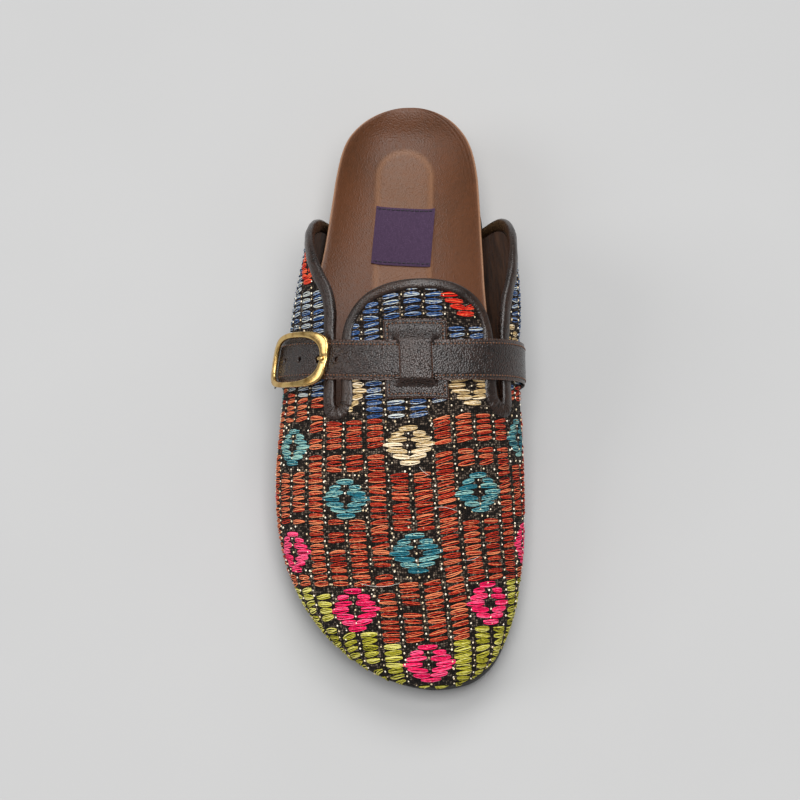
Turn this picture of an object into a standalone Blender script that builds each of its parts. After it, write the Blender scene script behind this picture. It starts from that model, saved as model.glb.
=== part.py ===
"""Right-foot woven clog with a closed toe, an open heel, a strap and a brass buckle.

The toe points to -Y, the inner side of the foot to +X, and the sole stands on Z = 0.
Sizes are in millimetres; stations run from the back of the heel to the toe.
"""
import bmesh
import bpy
import numpy as np
from mathutils import Vector
from mathutils.geometry import delaunay_2d_cdt

MM = 0.001


def table(names, *rows):
    """Turn rows of sizes into one array for each named column."""
    columns = np.array(rows, dtype=float).T
    return dict(zip(names.split(), columns))


# Overall sizes
LENGTH = 305.0
GAP = 0.3
WALL = 2.6
OUTSOLE_THICKNESS = 9.0
TOE_THINNING = 2.0
SPRING_START = 208.0
SPRING_RISE = 10.0
HEEL_BEVEL_LENGTH = 9.0
HEEL_BEVEL_RISE = 1.5
INSOLE_THICKNESS = 1.2
INSOLE_GAP = 0.4

# Plan outline of the outsole, half widths from the axis to each side
HEEL_TIP = (0.0, 0.0)
TOE_TIP = (303.0, 14.0)
SOLE_EDGE = table(
    "station lateral medial",
    (1.5, 9.8, 9.4),
    (6, 19.0, 17.8),
    (16, 28.6, 26.6),
    (40, 36.8, 34.8),
    (58, 40.2, 37.4),
    (80, 43.4, 39.0),
    (104, 47.6, 40.6),
    (138, 53.8, 45.0),
    (170, 58.5, 51.8),
    (200, 60.4, 55.6),
    (228, 57.6, 56.0),
    (252, 50.0, 54.0),
    (274, 36.8, 49.6),
    (290, 20.5, 42.0),
    (300, 3.0, 30.0),
)
FOOTBED_INSET = table(
    "station foot rim",
    (0, 0.9, 0.0),
    (12, 0.9, -0.9),
    (25, 0.9, -0.6),
    (37, 2.2, 0.1),
    (48, 4.2, 1.1),
    (58, 4.2, 1.6),
    (95, 4.2, 1.9),
    (120, 4.2, 2.2),
    (150, 4.2, 3.4),
    (170, 4.2, 4.2),
    (230, 4.4, 4.4),
    (270, 6.0, 6.0),
    (303, 7.0, 7.0),
)

# Footbed heights: along the middle, and at the rim of each side
FOOTBED = table(
    "station middle lateral medial",
    (0, 41.5, 41.5, 41.5),
    (4, 39.2, 41.5, 41.5),
    (12, 33.4, 41.5, 41.5),
    (26, 29.0, 41.2, 41.4),
    (50, 28.4, 40.0, 41.0),
    (80, 29.2, 37.5, 40.5),
    (110, 29.4, 35.0, 39.5),
    (140, 27.6, 32.0, 36.0),
    (175, 23.4, 27.5, 29.5),
    (210, 20.6, 24.0, 24.8),
    (250, 20.8, 23.6, 24.0),
    (303, 26.0, 27.5, 27.8),
)
RIM_POWER = 3.0
LIP_WIDTH = 3.0
LIP_DROP = 1.0
PLATE_TRIM = 0.15

# Sections of the last under the upper: height and place of the ridge, then for
# each side how far the wall flares, where it turns and how full the shoulder is
LAST = table(
    "station ridge middle lat_flare lat_turn lat_full med_flare med_turn med_full",
    (46, 116.0, 3, 12, 0.72, 0.82, 24, 0.75, 0.85),
    (70, 111.0, 3, 15, 0.72, 0.82, 32, 0.75, 0.87),
    (95, 105.0, 4, 18, 0.70, 0.74, 37, 0.74, 0.90),
    (120, 96.5, 5, 21, 0.62, 0.62, 36, 0.68, 0.92),
    (145, 87.5, 6, 18, 0.54, 0.56, 25, 0.62, 0.90),
    (170, 78.5, 7, 15, 0.50, 0.54, 16, 0.56, 0.84),
    (200, 68.5, 8, 13, 0.50, 0.55, 11, 0.55, 0.74),
    (228, 60.5, 9, 12, 0.52, 0.58, 10, 0.56, 0.68),
    (252, 54.5, 10, 11, 0.54, 0.60, 10, 0.56, 0.64),
    (275, 49.5, 12, 9, 0.56, 0.60, 9, 0.56, 0.62),
    (303, 44.0, 14, 6, 0.56, 0.60, 6, 0.56, 0.60),
)
LAST_REAR = 46.0
CAP_START = 246.0
CAP_END = 302.5
CAP_POWER = 2.3
TOE_SWELL = 2.2
SWELL_START = 225.0
SWELL_HEIGHT = 34.0
UPPER_INSET = 0.6
LAST_COLUMNS = 48

# Height of the upper's wall along the two wings, from the sole to the slits
WINGS = table(
    "station lateral medial",
    (61, 9.3, 9.3),
    (65, 25.0, 25.0),
    (71, 40.0, 40.0),
    (78, 51.0, 50.5),
    (86, 60.0, 58.2),
    (95, 67.0, 63.8),
    (104, 71.5, 66.8),
    (115, 74.6, 68.8),
    (126, 76.0, 69.4),
    (133, 74.6, 67.8),
)
# Slits beside the tongue: middle and half width across, and where they end
SLITS = table(
    "across half_width wing_start tongue_start end",
    (-39.4, 8.2, 141, 150, 184.5),
    (44.2, 9.4, 138, 149, 180.5),
)
# Edge of the tongue between the slits
TONGUE = table(
    "station across",
    (143.0, -29.2),
    (138.0, -25.2),
    (134.6, -20.0),
    (132.4, -13.6),
    (131.0, -5.8),
    (130.3, 2.6),
    (130.2, 11.0),
    (131.3, 20.2),
    (133.6, 26.2),
    (137.4, 31.0),
    (142.6, 34.0),
)
MESH_STEP = 7.8
COLLAR_STEP = 3.7
BASE_STEP = 5.6
TOE_MESH_START = 258.0
TOE_MESH_SHARE = 0.6
TOE_RING_RISE = 3.2
TOE_RING_END = 302.25

# Rolled binding along the collar
BINDING_HALF_WIDTH = 2.8
BINDING_HALF_THICKNESS = 2.2
BINDING_SHIFT = 0.4
BINDING_FOOT = 11.4
BINDING_POINTS = 8
BINDING_SQUARENESS = 0.8

# Strap over the instep
STRAP_STATION = 162.3
STRAP_SETBACK = 30.0
STRAP_SPREAD = 85.0
STRAP_WIDTH = 17.8
STRAP_LIFT = 2.2
STRAP_THICKNESS = 2.2
STRAP_TAIL = -96.0
STRAP_TIP = 9.0
STRAP_FOOT = 5.0
# Extra height of the strap on the outer side, where it lies on the buckle's tab
STRAP_RISE = table(
    "across rise",
    (-96, 1.0),
    (-86, 2.2),
    (-74, 2.9),
    (-58, 1.9),
    (-40, 0.0),
    (0, 0.0),
)
TAB_WIDTH = 16.0
TAB_TOP = -57.0
TAB_LIFT = 0.7
TAB_THICKNESS = 1.6

# Keeper patch on the tongue: half width and lift of its underside in each row
KEEPER_THICKNESS = 1.4
KEEPER_STATION = 161.6
KEEPER_MIDDLE = 0.6
KEEPER = table(
    "along half_width lift",
    (-18.0, 14.8, 0.4),
    (-13.0, 14.8, 0.5),
    (-10.0, 14.8, 0.6),
    (-9.7, 8.0, 1.2),
    (-8.7, 7.8, 4.7),
    (0.0, 7.8, 4.7),
    (10.1, 7.8, 4.7),
    (11.1, 8.0, 1.2),
    (11.4, 14.8, 0.6),
    (14.0, 14.8, 0.5),
    (17.4, 14.8, 0.4),
)

# Buckle on the outer side
BUCKLE_ACROSS = -60.2
BUCKLE_LENGTH = 38.0
BUCKLE_WIDTH = 27.4
BUCKLE_SIDE_BAR = 2.6
BUCKLE_UPPER_BAR = 4.1
BUCKLE_LOWER_BAR = 3.7
BUCKLE_THICKNESS = 2.4
BUCKLE_SQUARENESS = 0.42
BUCKLE_ROUND_END = 0.56
BUCKLE_SECTION = table(
    "inward rise",
    (0.0, 0.25),
    (0.25, 0.0),
    (0.75, 0.0),
    (1.0, 0.25),
    (1.0, 0.75),
    (0.75, 1.0),
    (0.25, 1.0),
    (0.0, 0.75),
)
PRONG_WIDTH = 2.2
PRONG_THICKNESS = 1.6
PRONG_LENGTH = 7.0

# Label on the insole
LABEL_STATION = 68.0
LABEL_MIDDLE = -2.6
LABEL_WIDTH = 28.0
LABEL_LENGTH = 31.0
LABEL_TURN = 0.06
LABEL_THICKNESS = 0.8


def smooth(at, rows, name, key="station"):
    """Smooth curve through one column of a table."""
    knots = rows[key]
    values = rows[name]
    at = np.asarray(at, dtype=float)
    slopes = np.gradient(values, knots)
    i = np.clip(np.searchsorted(knots, at, side="right") - 1, 0, len(knots) - 2)
    span = knots[i + 1] - knots[i]
    t = np.clip((at - knots[i]) / span, 0.0, 1.0)
    start = values[i] * (2 * t**3 - 3 * t**2 + 1) + slopes[i] * span * (t**3 - 2 * t**2 + t)
    finish = values[i + 1] * (3 * t**2 - 2 * t**3) + slopes[i + 1] * span * (t**3 - t**2)
    return start + finish


def smooth_path(points, step):
    """Smooth curve through plane points, cut into steps of about the given length."""
    points = np.asarray(points, dtype=float)
    chord = np.concatenate([[0.0], np.cumsum(np.linalg.norm(np.diff(points, axis=0), axis=1))])
    rows = {"chord": chord, "first": points[:, 0], "second": points[:, 1]}
    at = np.linspace(0.0, chord[-1], int(chord[-1] / step) + 1)
    first = smooth(at, rows, "first", key="chord")
    second = smooth(at, rows, "second", key="chord")
    return np.stack([first, second], axis=1)


def even_steps(points, step):
    """Fractions along a space polyline that cut it into steps of the given size."""
    part = np.linalg.norm(np.diff(points, axis=0), axis=1) / step
    length = np.concatenate([[0.0], np.cumsum(part)])
    count = max(2, int(round(length[-1])) + 1)
    return np.interp(np.linspace(0.0, length[-1], count), length, np.arange(len(points)))


def pick(values, at):
    """Values of a polyline at fractional places along it."""
    index = np.arange(len(values))
    return np.stack([np.interp(at, index, column) for column in values.T], axis=1)


def sole_outline():
    """Closed plan outline of the outsole as station and X."""
    lateral = np.stack([SOLE_EDGE["station"], -SOLE_EDGE["lateral"]], axis=1)
    medial = np.stack([SOLE_EDGE["station"], SOLE_EDGE["medial"]], axis=1)
    points = np.concatenate([[HEEL_TIP], lateral, [TOE_TIP], medial[::-1]])
    count = len(points)
    wrapped = points[np.arange(-3, count + 4) % count]
    path = smooth_path(wrapped, 0.5)
    start = np.argmin(np.linalg.norm(path[:300] - HEEL_TIP, axis=1))
    rest = path[start + 300:]
    finish = start + 300 + np.argmin(np.linalg.norm(rest - HEEL_TIP, axis=1))
    return path[start:finish]


def plan_edges(inset):
    """Lateral and medial edge curves of the outline, drawn in by a size for each point."""
    path = sole_outline()
    along = np.roll(path, -1, axis=0) - np.roll(path, 1, axis=0)
    along = along / np.linalg.norm(along, axis=1)[:, None]
    inward = np.stack([-along[:, 1], along[:, 0]], axis=1)
    path = path + inward * np.broadcast_to(inset(path[:, 0]), len(path))[:, None]
    path = np.roll(path, -int(np.argmin(path[:, 0])), axis=0)
    tip = int(np.argmax(path[:, 0]))
    lateral = path[:tip + 1]
    medial = np.concatenate([path[tip:], path[:1]])[::-1]
    return lateral, medial


def edges_at(station, edges):
    """X of the lateral and the medial edge at each station."""
    lateral, medial = edges
    return np.interp(station, lateral[:, 0], lateral[:, 1]), np.interp(station, medial[:, 0], medial[:, 1])


def sole_bottom(station):
    """Underside of the outsole: flat, with a bevelled heel and a lifted toe."""
    toe = np.clip((station - SPRING_START) / (TOE_TIP[0] - SPRING_START), 0.0, None)
    heel = np.clip(1.0 - station / HEEL_BEVEL_LENGTH, 0.0, 1.0)
    return SPRING_RISE * toe**2 + HEEL_BEVEL_RISE * heel**2


def sole_top(station):
    """Upper side of the outsole."""
    toe = np.clip((station - SPRING_START) / (TOE_TIP[0] - SPRING_START), 0.0, None)
    return OUTSOLE_THICKNESS + SPRING_RISE * toe**2 - TOE_THINNING * np.clip(toe, 0.0, 1.0)


FOOT_EDGES = plan_edges(lambda station: smooth(station, FOOTBED_INSET, "foot"))
RIM_EDGES = plan_edges(lambda station: smooth(station, FOOTBED_INSET, "rim"))
UPPER_EDGES = plan_edges(lambda station: UPPER_INSET)


def footbed_height(station, x):
    """Top of the footbed: a cupped heel, a raised arch and a rounded lip."""
    lateral, medial = edges_at(station, RIM_EDGES)
    middle = 0.5 * (lateral + medial)
    side = np.clip((x - middle) / np.maximum(0.5 * (medial - lateral), 0.1), -1.0, 1.0)
    rim = np.where(side < 0.0, smooth(station, FOOTBED, "lateral"), smooth(station, FOOTBED, "medial"))
    base = smooth(station, FOOTBED, "middle")
    from_edge = np.minimum(0.5 * (medial - lateral) * (1.0 - np.abs(side)), station - RIM_EDGES[0][0, 0])
    lip = np.clip(1.0 - from_edge / LIP_WIDTH, 0.0, 1.0)
    return base + (rim - base) * np.abs(side)**RIM_POWER - LIP_DROP * lip**2


class Last:
    """Smooth outer form of the upper, read by station and by length across from the ridge."""

    def __init__(self):
        rear = np.linspace(LAST_REAR, CAP_START, 150, endpoint=False)
        front = CAP_START + (CAP_END - CAP_START) * np.sin(np.linspace(0.0, np.pi / 2, 60))
        self.stations = np.concatenate([rear, front])
        lateral, self.lateral_reach = self.side("lat", -1.0)
        medial, self.medial_reach = self.side("med", 1.0)
        self.surface = np.concatenate([lateral, medial[:, ::-1][:, 1:]], axis=1)
        along = np.gradient(self.surface, axis=0)
        over = np.gradient(self.surface, axis=1)
        normal = np.cross(over, along)
        size = np.linalg.norm(normal, axis=2, keepdims=True)
        self.normal = -normal / np.maximum(size, 1e-9)
        ridge = np.linalg.norm(np.diff(self.surface[:, LAST_COLUMNS], axis=0), axis=1)
        self.ridge_length = np.concatenate([[0.0], np.cumsum(ridge)])

    def side(self, key, sign):
        """Points from the sole to the ridge on one side, evenly spaced in each section."""
        s = self.stations
        cap = np.clip((s - CAP_START) / (CAP_END - CAP_START), 0.0, 1.0)
        cap = (1.0 - cap**CAP_POWER)**(1.0 / CAP_POWER)
        base = sole_top(s) + GAP
        ridge = base + (smooth(s, LAST, "ridge") - base) * cap
        lateral, medial = edges_at(s, UPPER_EDGES)
        edge = lateral if sign < 0.0 else medial
        middle = np.clip(smooth(s, LAST, "middle"), lateral, medial)
        flare = smooth(s, LAST, key + "_flare") * cap
        turn = smooth(s, LAST, key + "_turn")
        full = smooth(s, LAST, key + "_full")
        t = np.linspace(0.0, 1.0, 81)
        weights = np.stack([(1 - t)**3, 3 * (1 - t)**2 * t, 3 * (1 - t) * t**2, t**3])
        x = np.stack([edge, edge + sign * flare, middle + full * (edge - middle), middle], axis=1) @ weights
        z = np.stack([base, base + turn * (ridge - base), ridge, ridge], axis=1) @ weights
        steps = np.hypot(np.diff(x, axis=1), np.diff(z, axis=1))
        length = np.concatenate([np.zeros((len(s), 1)), np.cumsum(steps, axis=1)], axis=1)
        share = np.linspace(0.0, 1.0, LAST_COLUMNS + 1)
        points = np.empty((len(s), LAST_COLUMNS + 1, 3))
        for row in range(len(s)):
            at = share * length[row, -1]
            points[row, :, 0] = np.interp(at, length[row], x[row])
            points[row, :, 2] = np.interp(at, length[row], z[row])
        rise = np.clip((points[:, :, 2] - base[:, None]) / SWELL_HEIGHT, 0.0, 1.0)
        swell = TOE_SWELL * np.clip((s - SWELL_START) / (CAP_END - SWELL_START), 0.0, 1.0)**2
        points[:, :, 1] = LENGTH / 2 - s[:, None] - swell[:, None] * np.sin(np.pi * rise)
        return points, length[:, -1]

    def reach(self, station, across):
        """Length from the ridge to the sole on the side that is asked for."""
        lateral = np.interp(station, self.stations, self.lateral_reach)
        medial = np.interp(station, self.stations, self.medial_reach)
        return np.where(np.asarray(across) < 0.0, lateral, medial)

    def cell(self, station, across):
        """Row, column and shares of the cell that holds each point."""
        row = np.interp(station, self.stations, np.arange(len(self.stations)))
        column = LAST_COLUMNS * (1.0 + np.clip(across / self.reach(station, across), -1.0, 1.0))
        i = np.minimum(row.astype(int), self.surface.shape[0] - 2)
        j = np.minimum(column.astype(int), self.surface.shape[1] - 2)
        return i, j, (row - i)[..., None], (column - j)[..., None]

    def blend(self, values, cell):
        """Values of a grid between its points."""
        i, j, a, b = cell
        near = (1 - b) * values[i, j] + b * values[i, j + 1]
        far = (1 - b) * values[i + 1, j] + b * values[i + 1, j + 1]
        return (1 - a) * near + a * far

    def facing(self, station, across):
        """Outward direction of the surface."""
        normal = self.blend(self.normal, self.cell(station, across))
        return normal / np.linalg.norm(normal, axis=-1, keepdims=True)

    def point(self, station, across, lift=0.0):
        """Point on the surface, lifted off it along its outward direction."""
        station, across = np.broadcast_arrays(np.asarray(station, float), np.asarray(across, float))
        place = self.blend(self.surface, self.cell(station, across))
        return place + np.asarray(lift)[..., None] * self.facing(station, across)

    def across_at_height(self, station, height, sign):
        """Length across from the ridge where the wall has the given height."""
        row = np.interp(station, self.stations, np.arange(len(self.stations)))
        low = int(row)
        part = row - low
        high = min(low + 1, len(self.stations) - 1)
        profile = (1 - part) * self.surface[low, :, 2] + part * self.surface[high, :, 2]
        share = np.linspace(1.0, 0.0, LAST_COLUMNS + 1)
        half = profile[:LAST_COLUMNS + 1] if sign < 0.0 else profile[LAST_COLUMNS:][::-1]
        return sign * float(np.interp(height, half, share)) * float(self.reach(station, sign))


LAST_FORM = Last()


def wing_path(name, sign):
    """Station and across of one wing's edge, from the sole up to the slit."""
    rows = zip(WINGS["station"], WINGS[name])
    return [(station, LAST_FORM.across_at_height(station, height, sign)) for station, height in rows]


def slit_path(index, sign):
    """Station and across round one slit, from the wing to the tongue."""
    middle = SLITS["across"][index]
    half = SLITS["half_width"][index]
    turn = SLITS["end"][index] - half
    points = []
    for station in np.linspace(SLITS["wing_start"][index], turn, 4)[:-1]:
        points.append((station, middle + sign * half))
    for angle in np.linspace(0.0, np.pi, 9):
        points.append((turn + half * np.sin(angle), middle + sign * half * np.cos(angle)))
    for station in np.linspace(turn, SLITS["tongue_start"][index], 4)[1:]:
        points.append((station, middle - sign * half))
    return points


def collar_path():
    """Station and across of the whole collar, from the outer foot to the inner foot."""
    points = wing_path("lateral", -1.0) + slit_path(0, -1.0)
    points += list(zip(TONGUE["station"], TONGUE["across"]))
    points += slit_path(1, 1.0)[::-1] + wing_path("medial", 1.0)[::-1]
    return smooth_path(points, 0.6)


def base_path():
    """Station and across of the lower edge, from the inner foot round the toe to the outer foot."""
    last = LAST_FORM
    inner = last.stations[last.stations > WINGS["station"][0]]
    inner = np.concatenate([[WINGS["station"][0]], inner])
    medial = np.stack([inner, last.reach(inner, np.ones(len(inner)))], axis=1)
    lateral = np.stack([inner, -last.reach(inner, -np.ones(len(inner)))], axis=1)
    return np.concatenate([medial, lateral[::-1]])


def on_sheet(path):
    """Places on the flattened sheet: length along the ridge, and across."""
    along = np.interp(path[:, 0], LAST_FORM.stations, LAST_FORM.ridge_length)
    return np.stack([along, path[:, 1]], axis=1)


def inside(points, border, margin):
    """Which points lie inside a closed border, and off it by a margin."""
    start = border
    finish = np.roll(border, -1, axis=0)
    px = points[:, 0][:, None]
    py = points[:, 1][:, None]
    crosses = (start[:, 1] > py) != (finish[:, 1] > py)
    rise = np.where(finish[:, 1] == start[:, 1], 1e-9, finish[:, 1] - start[:, 1])
    hit = start[:, 0] + (py - start[:, 1]) * (finish[:, 0] - start[:, 0]) / rise
    count = np.sum(crosses & (px < hit), axis=1)
    edge = finish - start
    length = np.maximum(np.sum(edge**2, axis=1), 1e-9)
    t = np.clip(((px - start[:, 0]) * edge[:, 0] + (py - start[:, 1]) * edge[:, 1]) / length, 0.0, 1.0)
    away = np.hypot(px - start[:, 0] - t * edge[:, 0], py - start[:, 1] - t * edge[:, 1])
    return (count % 2 == 1) & (away.min(axis=1) > margin)


def toe_ring():
    """Station and across of a line just above the lower edge round the toe."""
    toe = LAST_FORM.stations[LAST_FORM.stations > TOE_MESH_START]
    toe = np.append(toe[toe < TOE_RING_END], TOE_RING_END)
    medial = np.stack([toe, LAST_FORM.reach(toe, np.ones(len(toe))) - TOE_RING_RISE], axis=1)
    lateral = np.stack([toe, TOE_RING_RISE - LAST_FORM.reach(toe, -np.ones(len(toe)))], axis=1)
    ring = np.concatenate([medial, lateral[::-1]])
    return pick(ring, even_steps(LAST_FORM.point(ring[:, 0], ring[:, 1]), BASE_STEP * TOE_MESH_SHARE))


def lattice(start, finish, border, step, margin):
    """Staggered points between two lengths along the sheet, inside its border."""
    rows = np.arange(start + step / 2, finish - step / 3, step * 0.866)
    columns = np.arange(border[:, 1].min(), border[:, 1].max(), step)
    points = np.stack(np.meshgrid(rows, columns, indexing="ij"), axis=-1)
    points[::2, :, 1] += step / 2
    points = points.reshape(-1, 2)
    return points[inside(points, border, margin)]


def upper_sheet():
    """Outer face of the upper: points and triangles inside the collar and the lower edge."""
    collar = collar_path()
    collar = pick(collar, even_steps(LAST_FORM.point(collar[:, 0], collar[:, 1]), COLLAR_STEP))
    base = base_path()
    step = np.where(base[1:, 0] > TOE_MESH_START, TOE_MESH_SHARE, 1.0) * BASE_STEP
    base = pick(base, even_steps(LAST_FORM.point(base[:, 0], base[:, 1]), step))
    border = on_sheet(np.concatenate([collar[:-1], base[:-1]]))
    toe = float(np.interp(TOE_MESH_START, LAST_FORM.stations, LAST_FORM.ridge_length))
    body = lattice(border[:, 0].min(), toe, border, MESH_STEP, 0.5 * MESH_STEP)
    step = MESH_STEP * TOE_MESH_SHARE
    front = lattice(toe, border[:, 0].max(), border, step, TOE_RING_RISE + 0.5 * step)
    flat = np.concatenate([border, body, front, on_sheet(toe_ring())])
    count = len(border)
    edges = [(k, (k + 1) % count) for k in range(count)]
    places = [Vector((a, b)) for a, b in flat]
    places, _, faces, _, _, _ = delaunay_2d_cdt(places, edges, [], 1, 1e-6)
    flat = np.array([tuple(place) for place in places])
    station = np.interp(flat[:, 0], LAST_FORM.ridge_length, LAST_FORM.stations)
    return LAST_FORM.point(station, flat[:, 1]), [tuple(face) for face in faces]


def material(name, colour, roughness, metallic=0.0):
    """Principled material with a plain colour."""
    made = bpy.data.materials.new(name)
    made.use_nodes = True
    shader = made.node_tree.nodes["Principled BSDF"]
    shader.inputs["Base Color"].default_value = (*colour, 1.0)
    shader.inputs["Roughness"].default_value = roughness
    shader.inputs["Metallic"].default_value = metallic
    made.diffuse_color = (*colour, 1.0)
    return made


def solid(name, points, faces, finish, collection):
    """Mesh object from points in millimetres, faces turned outward."""
    mesh = bpy.data.meshes.new(name)
    mesh.from_pydata((np.asarray(points) * MM).tolist(), [], faces)
    work = bmesh.new()
    work.from_mesh(mesh)
    bmesh.ops.recalc_face_normals(work, faces=work.faces[:])
    work.to_mesh(mesh)
    work.free()
    mesh.materials.append(finish)
    mesh.shade_smooth()
    mesh.set_sharp_from_angle(angle=np.radians(40.0))
    made = bpy.data.objects.new(name, mesh)
    collection.objects.link(made)
    return made


def slab(name, top, bottom, finish, collection):
    """Closed solid between two point grids of the same size."""
    rows, columns = top.shape[:2]
    count = rows * columns
    index = np.arange(count).reshape(rows, columns)
    faces = []
    for i in range(rows - 1):
        for j in range(columns - 1):
            ring = [index[i, j], index[i, j + 1], index[i + 1, j + 1], index[i + 1, j]]
            faces.append([int(k) for k in ring])
            faces.append([int(k) + count for k in (ring[0], ring[3], ring[2], ring[1])])
    border = list(index[0, :-1]) + list(index[:-1, -1]) + list(index[-1, :0:-1]) + list(index[:0:-1, 0])
    for a, b in zip(border, border[1:] + border[:1]):
        faces.append([int(b), int(a), int(a) + count, int(b) + count])
    points = np.concatenate([top.reshape(-1, 3), bottom.reshape(-1, 3)])
    return solid(name, points, faces, finish, collection)


def tube(name, rings, closed, finish, collection):
    """Closed solid through rings of points, capped at its ends or joined into a loop."""
    count, size = rings.shape[:2]
    faces = []
    for i in range(count if closed else count - 1):
        for j in range(size):
            a = i * size
            b = ((i + 1) % count) * size
            faces.append([a + j, a + (j + 1) % size, b + (j + 1) % size, b + j])
    if not closed:
        faces.append(list(range(size)))
        faces.append([(count - 1) * size + j for j in range(size)])
    return solid(name, rings.reshape(-1, 3), faces, finish, collection)


def plan_grid(edges, height, rows, columns):
    """Grid of points inside a plan outline at a height worked out from station and X."""
    first = max(edges[0][0, 0], edges[1][0, 0]) + PLATE_TRIM
    last = min(edges[0][-1, 0], edges[1][-1, 0]) - PLATE_TRIM
    station = first + (last - first) * (1.0 - np.cos(np.linspace(0.0, np.pi, rows))) / 2
    lateral, medial = edges_at(station, edges)
    side = np.sin(np.linspace(-np.pi / 2, np.pi / 2, columns))
    x = (0.5 * (lateral + medial))[:, None] + (0.5 * (medial - lateral))[:, None] * side
    s = np.broadcast_to(station[:, None], x.shape)
    return np.stack([x, LENGTH / 2 - s, np.broadcast_to(height(s, x), x.shape)], axis=-1)


def plate(name, edges, top, bottom, rows, columns, finish, collection):
    """Plate between two height functions, inside the plan outlines of its upper and lower side."""
    above = plan_grid(edges[0], top, rows, columns)
    below = plan_grid(edges[1], bottom, rows, columns)
    return slab(name, above, below, finish, collection)


def build_sole(finishes, collection):
    """Outsole, cork footbed and leather insole."""
    outsole = plan_edges(lambda station: 0.0)
    plate("outsole", (outsole, outsole), lambda s, x: sole_top(s), lambda s, x: sole_bottom(s), 31, 7,
          finishes["rubber"], collection)
    cork_drop = INSOLE_THICKNESS + INSOLE_GAP
    plate("cork_footbed", (RIM_EDGES, FOOT_EDGES), lambda s, x: footbed_height(s, x) - cork_drop,
          lambda s, x: sole_top(s) + GAP, 31, 13, finishes["cork"], collection)
    plate("insole", (RIM_EDGES, RIM_EDGES), footbed_height,
          lambda s, x: footbed_height(s, x) - INSOLE_THICKNESS, 31, 13,
          finishes["insole_leather"], collection)


def build_upper(finishes, collection):
    """Woven upper: the trimmed sheet given its wall inward."""
    points, faces = upper_sheet()
    shell = solid("upper", points, faces, finishes["woven"], collection)
    outward = sum(face.normal.z * face.area for face in shell.data.polygons)
    if outward < 0.0:
        shell.data.flip_normals()
    wall = shell.modifiers.new("wall", "SOLIDIFY")
    wall.thickness = WALL * MM
    wall.offset = -1.0
    wall.use_even_offset = True
    wall.use_quality_normals = True


def build_binding(finishes, collection):
    """Rolled leather binding along the collar."""
    path = collar_path()
    height = LAST_FORM.point(path[:, 0], path[:, 1])[:, 2]
    path = path[height > BINDING_FOOT]
    path = pick(path, even_steps(LAST_FORM.point(path[:, 0], path[:, 1]), COLLAR_STEP))
    centre = LAST_FORM.point(path[:, 0], path[:, 1], BINDING_SHIFT - WALL / 2)
    normal = LAST_FORM.facing(path[:, 0], path[:, 1])
    along = np.gradient(centre, axis=0)
    away = np.cross(along, normal)
    away = away / np.linalg.norm(away, axis=1)[:, None]
    middle = len(path) // 2
    away = away * np.sign(away[middle, 1])
    centre = centre + away * (GAP + BINDING_HALF_WIDTH)
    angle = np.linspace(0.0, 2 * np.pi, BINDING_POINTS, endpoint=False) + np.pi / BINDING_POINTS
    wide = BINDING_HALF_WIDTH * np.sign(np.cos(angle)) * np.abs(np.cos(angle))**BINDING_SQUARENESS
    thick = BINDING_HALF_THICKNESS * np.sign(np.sin(angle)) * np.abs(np.sin(angle))**BINDING_SQUARENESS
    rings = centre[:, None] + away[:, None] * wide[None, :, None] + normal[:, None] * thick[None, :, None]
    tube("binding", rings, False, finishes["dark_leather"], collection)


def strap_station(across):
    """Station of the middle of the strap."""
    return STRAP_STATION - STRAP_SETBACK * (1.0 - np.exp(-(across / STRAP_SPREAD)**2))


def strap_lift(across):
    """Height of the strap's underside over the last."""
    return STRAP_LIFT + np.interp(across, STRAP_RISE["across"], STRAP_RISE["rise"])


def strap_slope(across):
    """Change of the strap's station for each step across."""
    return -2.0 * STRAP_SETBACK * across / STRAP_SPREAD**2 * np.exp(-(across / STRAP_SPREAD)**2)


def strap_place(across, aside, lift):
    """Point on the strap: across along it, aside from its middle, lifted off the last."""
    slope = strap_slope(across)
    turn = np.sqrt(1.0 + slope**2)
    return LAST_FORM.point(strap_station(across) + aside / turn, across - aside * slope / turn, lift)


def strap_end(aside, sign):
    """Length across at which each line along the strap comes down to the sole."""
    across = np.full(aside.shape, sign * 90.0)
    for _ in range(12):
        slope = strap_slope(across)
        turn = np.sqrt(1.0 + slope**2)
        foot = LAST_FORM.reach(strap_station(across) + aside / turn, across) - STRAP_FOOT
        across = sign * foot + aside * slope / turn
    return across


def build_strap(finishes, collection):
    """Leather strap from the inner edge of the sole to its tail on the outer side."""
    side = np.linspace(-1.0, 1.0, 4)
    tip = STRAP_TIP * (1 - np.cos(np.linspace(0.25, np.pi / 2, 5)))
    half = STRAP_WIDTH / 2 * np.sqrt(1.0 - (1.0 - tip / STRAP_TIP)**2)
    half = np.concatenate([half, np.full(29, STRAP_WIDTH / 2)])
    aside = half[:, None] * side
    inner = strap_end(STRAP_WIDTH / 2 * side, 1.0)
    straight = np.linspace(0.0, 1.0, 30)[1:, None] * (inner - STRAP_TAIL - STRAP_TIP) + STRAP_TAIL + STRAP_TIP
    across = np.concatenate([np.broadcast_to(STRAP_TAIL + tip[:, None], (5, 4)), straight])
    top = strap_place(across, aside, strap_lift(across) + STRAP_THICKNESS)
    bottom = strap_place(across, aside, strap_lift(across))
    slab("strap", top, bottom, finishes["dark_leather"], collection)


def build_tab(finishes, collection):
    """Short leather tab under the strap's tail that holds the buckle to the sole."""
    aside = TAB_WIDTH / 2 * np.linspace(-1.0, 1.0, 4)
    outer = strap_end(aside, -1.0)
    across = TAB_TOP + np.linspace(0.0, 1.0, 12)[:, None] * (outer - TAB_TOP)
    aside = np.broadcast_to(aside, across.shape)
    top = strap_place(across, aside, np.full(across.shape, TAB_LIFT + TAB_THICKNESS))
    bottom = strap_place(across, aside, np.full(across.shape, TAB_LIFT))
    slab("buckle_tab", top, bottom, finishes["dark_leather"], collection)


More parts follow.
